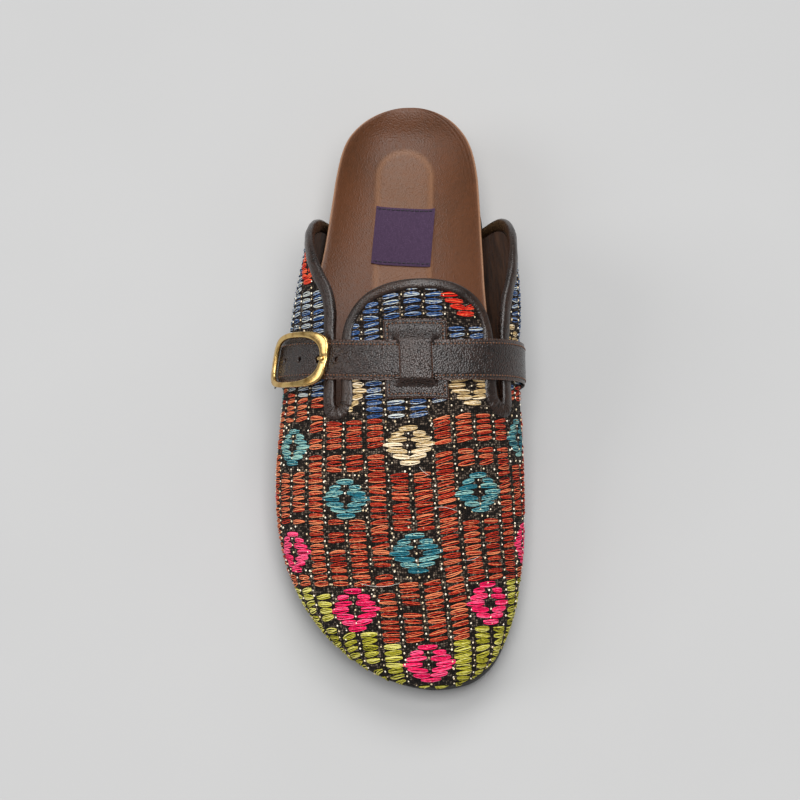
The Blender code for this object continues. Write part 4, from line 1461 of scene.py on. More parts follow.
@dataclass
class WovenUpper:
    """Hollow kilim upper: dark ground cloth with a suede lining, dyed bars, diamonds and cream dots.

    The weave is a small repeat.  Columns run lengthwise, bands of nine rows run across, and diamonds
    stand on every sixth column line, half a repeat apart from one band to the next.
    """

    last: Last
    collar: Collar
    wall: float = 2.6
    mesh_step: float = 3.0
    toe_mesh_step: float = 1.65
    toe_mesh_start: float = 262.0
    border_step: float = 1.5
    fence_step: float = 3.0
    edge_margin: float = 0.9
    toe_margin: float = 0.1
    toe_start: float = 215.0
    bead_margin: float = -1.5
    bead_reach: float = 4.0
    shortest: float = 2.4
    row_tilt: float = 0.07
    row_dip: float = 1.4
    row_dip_side: float = 25.0
    row_bend: float = 0.0029
    turned_rows: Pair = (150.0, 200.0)
    rows_in_band: int = 9
    half_columns: int = 12
    bar_share: float = 0.4
    bar_rise: float = 0.62
    bar_sunk: float = 0.22
    bar_jitter: float = 0.12
    length_jitter: float = 0.18
    bar_lean: Pair = (-0.2, 0.25)
    bare_rows: Pair = (183.0, 189.0)
    bare_side: float = 4.0
    faded_side: Pair = (42.0, 60.0)
    strand_count: int = 3
    strand_radius: float = 0.3
    strand_spread: float = 0.86
    motif_girth: float = 1.06
    motif_lean: float = 0.35
    motif_share: float = 0.95
    motif_point_share: float = 0.45
    motif_lines: tuple[tuple[int, ...], ...] = ((0, -6, 6), (-3, 3, -9, 9))
    first_motif_band: int = -1
    instep_delay: int = 2
    dot_radius: float = 0.54
    dot_share: float = 0.78
    dot_jitter: float = 0.25
    dot_margin: float = 1.2
    dot_lift: float = 0.15
    loose_share: float = 0.22
    hair_lift: float = 0.4
    hair_radius: float = 0.1
    skipped: float = 0.025
    seed: int = 7
    blue_middle: float = 26.0
    blue_end: float = 188.0
    blue_side_end: float = 186.0
    blue_side_slope: float = 0.18
    olive_start: Table = table("side station", (0.0, 286.5), (24.0, 281.0), (43.0, 264.0))
    column_line: Table = table(
        "station across pitch",
        (60.0, -7.2, 10.2), (134.0, -5.5, 10.2), (205.0, -3.8, 10.8), (245.0, -2.3, 11.0),
        (272.0, -0.5, 11.1), (303.0, 1.2, 11.1))
    bands: Table = table(
        "band station",
        (-3, 69.0), (-2, 95.0), (-1, 121.0), (0, 147.0), (1, 174.7), (2, 201.4), (3, 223.3), (4, 250.5),
        (5, 272.8), (6, 295.5))
    band_halves: Pair = (13.0, 12.0)
    toe_bands: int = 2
    toe_band_length: float = 24.0
    motif: Table = table(
        "row offset half",
        (-3, 0.0, 0.44), (-2, 0.48, 0.30), (-1, 0.52, 0.46), (0, 0.72, 0.46), (1, 0.52, 0.46),
        (2, 0.37, 0.39), (3, 0.0, 0.46))
    strays: Table = table("station line", (134.0, 3.0), (113.0, -5.45))
    hairs: Table = table(
        "station across length turn bow",
        (262.0, -20.0, 19.0, 4.0, 1.6), (229.0, 12.5, 11.0, 5.0, -0.8), (212.0, 3.0, 6.0, 40.0, 0.5),
        (250.0, 24.0, 8.0, -20.0, 0.7))

    def __post_init__(self) -> None:
        """Start the seeded draws and work out the rows, the diamonds and the outline of the weave."""
        self.draw = np.random.default_rng(self.seed)
        middle = self.row_of(self.bands["station"])
        ahead = middle[-1] + self.toe_band_length * np.arange(1, self.toe_bands + 1)
        self.band_number = np.arange(self.bands["band"][0], self.bands["band"][-1] + self.toe_bands + 1)
        self.rows = self.spread_rows(np.concatenate([middle, ahead]))
        self.diamonds = self.place_diamonds()
        self.fence = self.collar.border(self.fence_step)

    def spread_rows(self, middle: Array) -> Array:
        """Row lengths of all rows, those of each band spread evenly between its neighbours.

        Args:
            middle: Row length of the middle of each band.

        Returns:
            Row lengths in order.
        """
        edge = 0.5 * (middle[1:] + middle[:-1])
        low = np.concatenate([[middle[0] - self.band_halves[0]], edge])
        high = np.concatenate([edge, [middle[-1] + self.band_halves[1]]])
        share = (np.arange(self.rows_in_band) + 0.5) / self.rows_in_band
        return (low[:, None] + (high - low)[:, None] * share).ravel()

    def place_diamonds(self) -> list[tuple[int, float, Yarn]]:
        """Places of the diamonds: number of the middle row, column line and yarn.

        Returns:
            One entry for each diamond; the yarn changes with the distance from the instep.
        """
        order = {2: Yarn.CREAM, 4: Yarn.TEAL, 6: Yarn.PINK}
        found = [(int(np.abs(self.rows - self.row_of(station)).argmin()), float(line), Yarn.SCARLET)
                 for station, line in zip(self.strays["station"], self.strays["line"])]
        for index, band in enumerate(self.band_number):
            late = self.instep_delay if band == 0 else 0
            for line in self.motif_lines[int(band) % 2]:
                yarn = order.get(int(band) + abs(line) // 3)
                if yarn is not None and band >= self.first_motif_band:
                    found.append((index * self.rows_in_band + self.rows_in_band // 2 + late, line, yarn))
        return found

    def skew(self, row: Array, across: Array) -> Array:
        """How far a fabric row lies behind its length on the ridge: bent to the sides and turned a little.

        Args:
            row: Fabric row lengths.
            across: Lengths across.

        Returns:
            Lengths along the sheet.
        """
        front = ease(*self.row_of(self.turned_rows), row)
        turned = self.row_tilt * (np.minimum(across, 0.0) + front * np.maximum(across, 0.0))
        dip = self.row_dip * front * ease(0.0, self.row_dip_side, np.abs(across))
        return self.row_bend * across**2 + turned + dip

    def row_of(self, station: Array | float) -> Array:
        """Fabric row length of a station on the ridge."""
        return np.interp(station, self.last.stations, self.last.ridge_length)

    def on_ridge(self, length: Array) -> Array:
        """Station of a length along the ridge."""
        return np.interp(length, self.last.ridge_length, self.last.stations)

    def station_of(self, row: Array, across: Array) -> Array:
        """Station of a fabric row at a length across."""
        return self.on_ridge(row - self.skew(row, across))

    def column(self, line: Array | float, row: Array) -> Array:
        """Length across of a column line, which leans inward towards the toe."""
        rows = self.row_of(self.column_line["station"])
        return np.interp(row, rows, self.column_line["across"]) + self.pitch(row) * line

    def pitch(self, row: Array) -> Array:
        """Distance of the column lines at a row."""
        return np.interp(row, self.row_of(self.column_line["station"]), self.column_line["pitch"])

    def row_pitch(self, centre: int) -> float:
        """Distance of the rows about a row."""
        return 0.5 * (self.rows[centre + 1] - self.rows[centre - 1])

    def build(self) -> None:
        """Make the ground cloth, the bars by yarn, the dots and the hairs."""
        self.build_shell()
        bars = self.trim(self.chart())
        for yarn in Yarn:
            chosen = bars.yarn == yarn.number
            if chosen.any():
                girth = 1.0 if yarn in (Yarn.BRICK, Yarn.BLUE) else self.motif_girth
                skin = self.bar_skin(bars.only(chosen), girth)
                place(skin, "bars_" + yarn.name.lower(), [yarn.value])
        self.build_dots()
        self.build_hairs()

    def build_shell(self) -> None:
        """Ground cloth and lining: the flattened sheet filled with triangles and laid on the last twice."""
        border = self.collar.border(self.border_step)
        toe = float(self.row_of(self.toe_mesh_start))
        body = self.lattice(border[:, 0].min(), toe, border, self.mesh_step)
        front = self.lattice(toe, border[:, 0].max(), border, self.toe_mesh_step)
        flat = np.concatenate([border, body, front])
        rim = np.arange(len(border))
        after = np.roll(rim, -1)
        edges = list(zip(rim.tolist(), after.tolist()))
        places, _, faces, _, _, _ = delaunay_2d_cdt([Vector(p) for p in flat.tolist()], edges, [], 1, 1e-6)
        flat, faces, count = np.array([tuple(p) for p in places]), np.array(faces), len(places)
        station = self.on_ridge(flat[:, 0])
        outer, inner = (self.last.point(station, flat[:, 1], lift) for lift in (0.0, -self.wall))
        strip = stack(after, rim, rim + count, after + count)
        if not self.turns_ahead(faces):
            strip = strip[:, ::-1]
        skin = Skin(np.concatenate([outer, inner]), strip, np.concatenate([faces, faces[:, ::-1] + count]))
        pattern = stack(flat[:, 1], flat[:, 0] + self.skew(flat[:, 0], flat[:, 1]))
        skin.uv = np.concatenate([pattern, pattern])[skin.corners()]
        skin.slots = np.concatenate([np.zeros(len(strip) + len(faces)), np.ones(len(faces))])
        place(skin, "upper", [KILIM_GROUND, SUEDE], ("upper",), 60.0)

    def turns_ahead(self, faces: Array) -> bool:
        """Whether a triangle runs along the border in the border's own order."""
        pairs = np.concatenate([faces[:, [0, 1]], faces[:, [1, 2]], faces[:, [2, 0]]])
        return bool(np.any((pairs[:, 0] == 0) & (pairs[:, 1] == 1)))

    def lattice(self, start: float, finish: float, border: Array, step: float) -> Array:
        """Staggered points of the sheet between two lengths.

        Args:
            start: First length along the sheet.
            finish: Last length along the sheet.
            border: Border of the sheet.
            step: Distance of the points.

        Returns:
            The points inside the border.
        """
        rows = np.arange(start + step / 2, finish - step / 3, step * 0.866)
        columns = np.arange(border[:, 1].min(), border[:, 1].max(), step)
        points = np.stack(np.meshgrid(rows, columns, indexing="ij"), axis=-1)
        points[::2, :, 1] += step / 2
        points = points.reshape(-1, 2)
        return points[inside(points, border, 0.5 * step)]

    def ground_yarn(self, row: Array, across: Array) -> Array:
        """Number of the ground yarn: blue over the instep, brick over the ball, olive round the toe.

        Args:
            row: Fabric row lengths.
            across: Lengths across.

        Returns:
            Numbers of yarns.
        """
        side = np.abs(across)
        blue_end = np.where(side < self.blue_middle, self.blue_end,
                            self.blue_side_end - self.blue_side_slope * side)
        step = np.searchsorted(self.olive_start["side"], side, side="right") - 1
        toe = row > self.row_of(self.olive_start["station"][step])
        front = np.where(toe, Yarn.OLIVE.number, Yarn.BRICK.number)
        return np.where(self.on_ridge(row) < blue_end, Yarn.BLUE.number, front)

    def chart(self) -> Bars:
        """Every bar of the weave before it is cut to the upper's outline.

        Returns:
            The ground bars, then those of the diamonds.
        """
        parts = [self.ground_bars()] + [self.diamond_bars(*diamond) for diamond in self.diamonds]
        return Bars(*np.concatenate(parts).T)

    def ground_bars(self) -> Array:
        """Bars between the column lines, with the diamonds' fields and one bare strip left out.

        Returns:
            Across, row, half length, yarn and lean of each bar.
        """
        lines = np.arange(-self.half_columns, self.half_columns) + 0.5
        row, line = np.meshgrid(self.rows, lines, indexing="ij")
        across = self.column(line, row)
        keep = self.draw.random(row.shape) > self.skipped
        keep &= self.draw.random((len(row), 1)) > 0.5 * self.skipped
        reach = self.rows_in_band // 2
        for centre, line, _ in self.diamonds:
            column = round(line) + self.half_columns
            bare = keep[max(centre - reach, 0):centre + reach + 1, column - 1:column + 1]
            bare[[0, -1]] &= self.draw.random((2, 1)) < self.motif_point_share
            bare[1:-1] = False
        row = row + self.draw.normal(0.0, self.bar_jitter, row.shape)
        half = self.bar_share * self.pitch(row) + self.draw.normal(0.0, self.length_jitter, row.shape)
        start, finish = self.row_of(self.bare_rows)
        keep &= ~((row > start) & (row < finish) & (across > self.bare_side))
        lean = self.draw.normal(*self.bar_lean, row.shape)
        return stack(across, row, half, self.ground_yarn(row, across), lean)[keep]

    def diamond_bars(self, centre: int, line: float, yarn: Yarn) -> Array:
        """Bars of one diamond: a single one at each point and pairs between, which lean like its sides.

        Args:
            centre: Number of its middle row.
            line: Column line that it stands on.
            yarn: Its yarn.

        Returns:
            Across, row, half length, yarn and lean of each bar.
        """
        row = self.rows[centre] + self.motif_share * self.row_pitch(centre) * self.motif["row"]
        wide = self.pitch(row)
        paired = self.motif["offset"] > 0.0
        parts = []
        for sign in (-1.0, 1.0):
            across = self.column(line, row) + sign * self.motif["offset"] * wide
            lean = -sign * self.motif_lean * np.sign(self.motif["row"]) * paired
            bars = [across, row, self.motif["half"] * wide, np.full(len(row), yarn.number), lean]
            parts.append(np.stack(bars, axis=-1)[paired | (sign > 0.0)])
        return np.concatenate(parts)

    def trim(self, bars: Bars) -> Bars:
        """Cut the bars to the upper's outline: keep the stretch of each that lies inside.

        Args:
            bars: Whole bars.

        Returns:
            The bars that are left, shortened where the edge cuts them.
        """
        across = bars.across[:, None] + bars.half[:, None] * np.linspace(-1.0, 1.0, 9)
        along = bars.row[:, None] - self.skew(bars.row[:, None], across)
        flat = stack(along, across).reshape(-1, 2)
        seam = self.collar.sheet(self.collar.path())[::4]
        near = np.hypot(*(flat[:, None] - seam).transpose(2, 0, 1)).min(axis=1) < self.bead_reach
        margin = np.where(flat[:, 0] > self.row_of(self.toe_start), self.toe_margin, self.edge_margin)
        inner = inside(flat, self.fence, np.where(near, self.bead_margin, margin)).reshape(across.shape)
        low = np.where(inner, across, np.inf).min(axis=1)
        high = np.where(inner, across, -np.inf).max(axis=1)
        keep = high - low > self.shortest
        low, high = low[keep], high[keep]
        return Bars(0.5 * (low + high), bars.row[keep], 0.5 * (high - low), bars.yarn[keep].astype(int),
                    bars.lean[keep])

    def bar_skin(self, bars: Bars, girth: float) -> Skin:
        """Strands of bars: tubes that lie side by side in the middle and pinch together at the ends.

        The middle line of a strand rises over the ground by an ellipse of its share along the bar.

        Args:
            bars: Bars of one yarn.
            girth: Share by which they are stouter than the ground bars, which have a strand less.

        Returns:
            The joined skin, with a random shade for each strand.
        """
        many, threads, stops, sides = len(bars.across), self.strand_count + int(girth > 1.0), 8, 6
        each = (many, threads, 1)
        spread = self.strand_spread * self.strand_count / threads
        t = np.sin(np.linspace(-np.pi / 2, np.pi / 2, stops) * 0.96)
        arch = np.sqrt(1.0 - t**2)
        chosen = (bars.across, bars.row, bars.half, bars.lean)
        middle, row, half, lean = (values[:, None, None] for values in chosen)
        order = (np.arange(threads) - (threads - 1) / 2)[None, :, None]
        drift = self.draw.normal(0.0, 0.16, each)
        tilt = self.draw.normal(0.0, 0.2, each)
        aside = (order + drift) * girth * spread * (0.3 + 0.7 * (1.0 - t**2)**0.8)
        aside = aside + (lean + tilt) * t + 0.7 * drift * np.cos(2.2 * t + 6.0 * drift)
        across, row = np.broadcast_arrays(middle + half * t, row + aside)
        crown = self.bar_rise * (1.0 + self.draw.normal(0.0, 0.12, each))
        station = self.station_of(row, across)
        centre = self.last.point(station, across, crown * arch - self.bar_sunk - 0.1 * np.abs(order))
        normal = self.last.facing(station, across)
        beside = unit(np.cross(unit(np.gradient(centre, axis=2)), normal))
        turn = round_turn(sides)
        radius = girth * self.strand_radius * (0.4 + 0.6 * arch)[None, None, :, None, None]
        radius = radius * (1.0 + self.draw.normal(0.0, 0.08, (*each, 1, 1)))
        ring = beside[..., None, :] * np.cos(turn)[:, None] + normal[..., None, :] * np.sin(turn)[:, None]
        rings = (centre[..., None, :] + radius * ring).reshape(many * threads, stops, sides, 3)
        shade = self.draw.normal(0.5, 0.2, (many, threads)) + self.draw.normal(0.0, 0.07, (many, 1))
        shade = np.clip(shade + 0.2 * ease(*self.faded_side, -bars.across)[:, None], 0.0, 1.0)
        return strands(rings, np.repeat(2.0 * bars.half, threads), {"shade": shade.ravel()})

    def loose_knots(self, centre: int, line: float) -> Array:
        """Places of the knots strewn over the bare ground round one diamond.

        Args:
            centre: Number of the diamond's middle row.
            line: Column line of the diamond.

        Returns:
            Fabric row length and length across of each knot.
        """
        half_rows, half_width, clear = 4.0, 1.2, 1.1
        step, share = np.meshgrid(np.arange(-half_rows, half_rows + 1.0), np.arange(-1.0, 1.01, 0.25))
        step = step.ravel() + self.draw.normal(0.0, 0.2, step.size)
        share = share.ravel() + self.draw.normal(0.0, 0.06, share.size)
        bare = np.abs(share) / half_width + np.abs(step) / half_rows > clear
        keep = bare & (self.draw.random(step.size) < self.loose_share)
        row = self.rows[centre] + self.row_pitch(centre) * step[keep]
        return stack(row, self.column(line, row) + share[keep] * self.pitch(row))

    def build_dots(self) -> None:
        """Cream knots: beads on the column lines between the bars, and round the diamonds."""
        lines = np.arange(-self.half_columns, self.half_columns + 1)
        row, line = np.meshgrid(self.rows, lines, indexing="ij")
        keep = self.draw.random(row.shape) < self.dot_share
        across = self.column(line, row) + self.draw.normal(0.0, self.dot_jitter, row.shape)
        row = row + self.draw.normal(0.0, self.dot_jitter, row.shape)
        loose = [self.loose_knots(centre, line) for centre, line, _ in self.diamonds]
        row, across = np.concatenate([stack(row, across)[keep]] + loose).T
        inner = inside(stack(row - self.skew(row, across), across), self.fence, self.dot_margin)
        row, across = row[inner], across[inner]
        station = self.station_of(row, across)
        normal = self.last.facing(station, across)
        ahead = unit(self.last.point(station, across + 0.5) - self.last.point(station, across - 0.5))
        axes = np.stack([ahead, np.cross(normal, ahead), normal], axis=1)
        size = self.dot_radius * (0.75 + 0.4 * self.draw.random((len(row), 1)))
        skin = beads(self.last.point(station, across, self.dot_lift), axes, size * np.array([0.85, 1.0, 0.7]))
        skin.uv = np.full((len(skin.corners()), 2), 0.25)
        skin.marks["shade"] = np.repeat(self.draw.random(len(row)), len(skin.points) // len(row))
        place(skin, "cream_dots", [Yarn.DOT.value])

    def build_hairs(self) -> None:
        """Stray wool hairs on the bars: each a parabola on the flattened cloth."""
        hair = {name: column[:, None] for name, column in self.hairs.items()}
        t, turn = np.linspace(-1.0, 1.0, 16)[None, :], np.radians(hair["turn"])
        ahead, aside = 0.5 * hair["length"] * t, hair["bow"] * (1.0 - t**2)
        across = hair["across"] + ahead * np.cos(turn) - aside * np.sin(turn)
        station = hair["station"] + ahead * np.sin(turn) + aside * np.cos(turn)
        paths = self.last.point(station, across, self.bar_rise + self.hair_lift)
        place(stitches(paths, self.hair_radius), "stray_hairs", [STRAY_WOOL])


# Leather and brass

@dataclass
class Binding:
    """Rolled leather bead along the collar, puckered round the slit ends, in millimetres."""

    last: Last
    collar: Collar
    wall: float = 2.6
    half_width: float = 3.4
    tongue_half_width: float = 2.7
    tongue_end: float = 150.0
    tongue_sides: Pair = (-31.0, 36.0)
    inner_half_width: float = 3.8
    inner_start: float = 140.0
    blend_steps: int = 21
    half_thickness: float = 2.2
    shift: float = 0.4
    inset: float = 2.6
    foot: float = 11.4
    squareness: float = 0.85
    step: float = 0.8
    points: int = 20
    pucker: float = 0.9
    pucker_pitch: float = 2.9
    pucker_bend: Pair = (0.03, 0.1)

    def width_along(self, path: Array) -> Array:
        """Half width along the collar: slim over the tongue, full on the wings, fullest in the inner slit.

        Args:
            path: Station and across of each ring.

        Returns:
            Half widths, evened out over neighbouring rings.
        """
        station, across = path.T
        low, high = self.tongue_sides
        tongue = (station < self.tongue_end) & (across > low) & (across < high)
        inner = (station > self.inner_start) & (across > 0.0)
        size = np.where(inner, self.inner_half_width, self.half_width)
        size = np.pad(np.where(tongue, self.tongue_half_width, size), self.blend_steps // 2, mode="edge")
        return np.convolve(size, np.ones(self.blend_steps) / self.blend_steps, mode="valid")

    def build(self) -> None:
        """Make the bead: an oval carried along the collar, with folds where the collar turns tightly."""
        path = self.collar.path()
        path = path[self.last.point(*path.T)[:, 2] > self.foot]
        path = pick(path, even_steps(self.last.point(*path.T), self.step))
        centre = self.last.point(*path.T, self.shift - self.wall / 2)
        normal = self.last.facing(*path.T)
        along = unit(np.gradient(centre, axis=0))
        away = unit(np.cross(along, normal))
        away = away * np.sign(away[len(path) // 2, 1])
        bend = np.einsum("ij,ij->i", np.gradient(along, axis=0), away) / self.step
        tight = ease(*self.pucker_bend, np.convolve(bend, np.ones(9) / 9, mode="same"))[:, None]
        length = np.arange(len(path))[:, None] * self.step
        angle = round_turn(self.points)
        fold = 1.0 - 1.8 * np.abs(np.sin(np.pi * length / self.pucker_pitch))**0.6
        fold = fold + 0.4 * np.sin(2 * np.pi * length / (1.7 * self.pucker_pitch) + 1.0)
        rough = 0.05 * np.sin(length / 4.1) + 0.04 * np.sin(length / 1.9 + 2 * angle)
        swell = 1.0 + self.pucker / self.half_width * tight * fold * np.abs(np.sin(angle)) + rough
        half = self.width_along(path)[:, None]
        wide = half * squared(np.cos(angle), self.squareness)
        thick = self.half_thickness * squared(np.sin(angle), self.squareness) * swell
        centre = centre + away * (self.inset + 0.5 * (half - 2.8))
        skin = tube(centre[:, None] + away[:, None] * wide[..., None] + normal[:, None] * thick[..., None])
        # Painted highlight along the top of the bead, growing stronger and weaker slowly along it.
        wear = 0.25 * ease(0.5, 1.0, np.sin(angle)) * (0.6 + 0.4 * np.sin(length / 9.0))
        skin.marks["wear"] = np.concatenate([wear.ravel(), [0.0, 0.0]])
        place(skin, "binding", [BEAD_LEATHER], ("binding",))


def leather_slab(name: str, top: Array, bottom: Array, wear: Array) -> bpy.types.Object:
    """Piece of dark leather between two point grids.

    Args:
        name: Name of the piece and of the node that it stands for.
        top: Upper grid of points.
        bottom: Lower grid of points.
        wear: Share of the paler colour over the grid, for worn places and for painted highlights.

    Returns:
        The piece.
    """
    skin = slab(top, bottom)
    skin.marks["wear"] = np.tile(wear.ravel(), 2)
    return place(skin, name, [DARK_LEATHER], (name,), 50.0)


@dataclass
class Strap:
    """Leather strap over the instep with two rows of stitches and punched holes, in millimetres."""

    last: Last
    station: float = 162.3
    setback: Pair = (26.7, 30.0)
    spread: float = 85.0
    width: float = 17.8
    lift: float = 1.6
    thickness: float = 1.9
    tail: float = -96.0
    tip: float = 9.0
    tail_flare: float = 1.1
    flare_fade: Pair = (-62.0, -44.0)
    foot: float = 5.0
    stitch_inset: float = 1.9
    stitch_pitch: float = 1.75
    thread_radius: float = 0.36
    holes: Table = table("across radius", (-38.0, 1.1), (-47.7, 1.7), (-59.0, 1.2), (-70.0, 1.1))
    creases: Table = table(
        "across lean width depth",
        (-73.5, 0.12, 1.3, 0.34), (-67.0, 0.05, 1.2, 0.26), (-63.0, -0.1, 1.2, 0.18), (-33.0, 0.9, 1.8, 0.2),
        (-27.5, 0.8, 1.6, 0.16), (22.0, -0.5, 1.8, 0.14))
    rise: Table = table("across rise", (-96, 1.0), (-86, 2.2), (-74, 2.9), (-58, 1.9), (-40, 0.0), (0, 0.0))
    tab_width: float = 16.0
    tab_top: float = -57.0
    tab_lift: float = 0.7
    tab_thickness: float = 1.6

    def middle(self, across: Array) -> Array:
        """Station of the strap's middle: set back towards the sides by a bell curve."""
        return self.station - self.setback_at(across) * (1.0 - np.exp(-(across / self.spread)**2))

    def setback_at(self, across: Array) -> Array:
        """Setback of the side on which each place lies."""
        return np.where(np.asarray(across) < 0.0, *self.setback)

    def height(self, across: Array) -> Array:
        """Height of the underside over the last, raised where the strap lies on the buckle's tab."""
        return self.lift + np.interp(across, self.rise["across"], self.rise["rise"])

    def square(self, across: Array, aside: Array) -> tuple[Array, Array]:
        """Step square to the strap's middle line, from the slope of the bell curve.

        Args:
            across: Length across, along the strap.
            aside: Distance from the middle line.

        Returns:
            The step's share of station and of length across.
        """
        slope = -2.0 * self.setback_at(across) * across / self.spread**2 * np.exp(-(across / self.spread)**2)
        turn = np.sqrt(1.0 + slope**2)
        return aside / turn, -aside * slope / turn

    def lie(self, across: Array, aside: Array, lift: Array | float) -> Array:
        """Point on the strap, from its place along, aside of the middle line and over the last."""
        forward, sideways = self.square(across, aside)
        return self.last.point(self.middle(across) + forward, across + sideways, lift)

    def end(self, aside: Array, sign: float) -> Array:
        """Length across at which each line along the strap comes down to the sole, found in small steps.

        Args:
            aside: Distances from the middle line.
            sign: -1 for the lateral side, 1 for the medial side.

        Returns:
            Lengths across.
        """
        first_guess, rounds = 90.0, 12
        across = np.full(aside.shape, sign * first_guess)
        for _ in range(rounds):
            forward, sideways = self.square(across, aside)
            across = sign * (self.last.reach(self.middle(across) + forward, across) - self.foot) - sideways
        return across

    def profile(self, aside: Array) -> Array:
        """Height of the upper face: full in the middle, grooved at the stitches, thin at the lips.

        Args:
            aside: Distances from the middle line.

        Returns:
            Heights over the underside.
        """
        inset = self.width / 2 - np.abs(aside)
        lip = 0.62 + 0.38 * ease(0.2, 2.6, inset)
        groove = 0.16 * np.exp(-((inset - self.stitch_inset) / 0.55)**2)
        return self.thickness * (lip - groove)

    def wrinkle(self, across: Array, aside: Array) -> Array:
        """Depth of the creases: soft troughs across the strap that run out towards its edges.

        Args:
            across: Grid of lengths across.
            aside: Grid of distances from the middle line.

        Returns:
            Depths.
        """
        crease = {name: column[:, None, None] for name, column in self.creases.items()}
        off = (across - crease["across"] - crease["lean"] * aside) / crease["width"]
        inner = (1.0 - (2.0 * aside / self.width)**4).clip(0.0)
        return (crease["depth"] * np.exp(-off**2)).sum(axis=0) * inner

    def build(self) -> None:
        """Make the strap with its rounded, flared tail, its holes and stitches, and the tab below it."""
        half = self.width / 2
        side = crowded(29)
        corner = np.linspace(0.12, np.pi / 2, 10)
        tip = self.tail + self.tip * (1 - np.cos(corner))
        start = self.tail + self.tip
        body = start + np.linspace(0.0, 1.0, 250)[1:, None] * (self.end(half * side, 1.0) - start)
        flare = self.tail_flare * (1.0 - ease(*self.flare_fade, body.mean(axis=1)))
        width = np.concatenate([(half + self.tail_flare) * np.sin(corner), half + flare])[:, None]
        aside = width * side
        across = np.concatenate([np.broadcast_to(tip[:, None], (len(tip), len(side))), body])
        even = aside * half / width
        low = self.height(across)
        top = self.lie(across, aside, low + self.profile(even) - self.wrinkle(across, aside))
        bottom = self.lie(across, aside * (1.0 - 0.12 * np.abs(side)**24), low)
        wear = 0.35 * (1.0 - ease(0.2, 1.4, half - np.abs(even)))
        self.punch(leather_slab("strap", top, bottom, wear))
        self.build_stitches()
        self.build_tab()

    def build_tab(self) -> None:
        """Tab under the tail: a plain band with softened edges, from the buckle's middle to the sole."""
        half = self.tab_width / 2
        aside = half * crowded(15)
        across = self.tab_top + np.linspace(0.0, 1.0, 60)[:, None] * (self.end(aside, -1.0) - self.tab_top)
        aside = np.broadcast_to(aside, across.shape)
        face = self.tab_lift + self.tab_thickness * (0.55 + 0.45 * ease(0.0, 1.0, half - np.abs(aside)))
        leather_slab("buckle_tab", self.lie(across, aside, face), self.lie(across, aside, self.tab_lift),
                     np.zeros(across.shape))

    def punch(self, leather: bpy.types.Object) -> None:
        """Cut the round holes through the strap with one pin for each.

        Args:
            leather: The strap.
        """
        turn, spare = round_turn(24), 1.0
        hole, radius = (self.holes[name][:, None, None] for name in ("across", "radius"))
        lift = self.height(hole) + np.array([-spare, self.thickness + spare])[:, None]
        rings = np.broadcast_arrays(hole + radius * np.cos(turn), radius * np.sin(turn), lift)
        pins = strands(self.lie(*rings), np.ones(len(hole)), {})
        pins.uv = None
        cutter = bpy.data.objects.new("hole_pins", pins.mesh("hole_pins"))
        bpy.context.scene.collection.objects.link(cutter)
        cut = leather.modifiers.new("holes", "BOOLEAN")
        cut.operation = "DIFFERENCE"
        cut.solver = "EXACT"
        cut.object = cutter
        graph = bpy.context.evaluated_depsgraph_get()
        punched = bpy.data.meshes.new_from_object(leather.evaluated_get(graph))
        leather.modifiers.clear()
        leather.data = punched
        bpy.data.objects.remove(cutter, do_unlink=True)

    def build_stitches(self) -> None:
        """Two rows of stitches, each a short thread dipping at its ends."""
        aside = self.width / 2 - self.stitch_inset
        start, clear = self.tail + self.tip + 1.0, 2.0
        t = np.linspace(-0.28, 0.28, 5)
        rows = []
        for edge in (-aside, aside):
            line = np.linspace(start, float(self.end(np.array(edge), 1.0)) - clear, 400)
            at = even_steps(self.lie(line, np.full(len(line), edge), 0.0), self.stitch_pitch)
            across = pick(line[:, None], at)[1:-1] + t * self.stitch_pitch
            lift = self.height(across) + self.profile(np.array(aside)) + 0.14 - 3.0 * t**2
            rows.append(self.lie(across, np.full(across.shape, edge), lift))
        sew("strap", np.concatenate(rows), self.thread_radius)


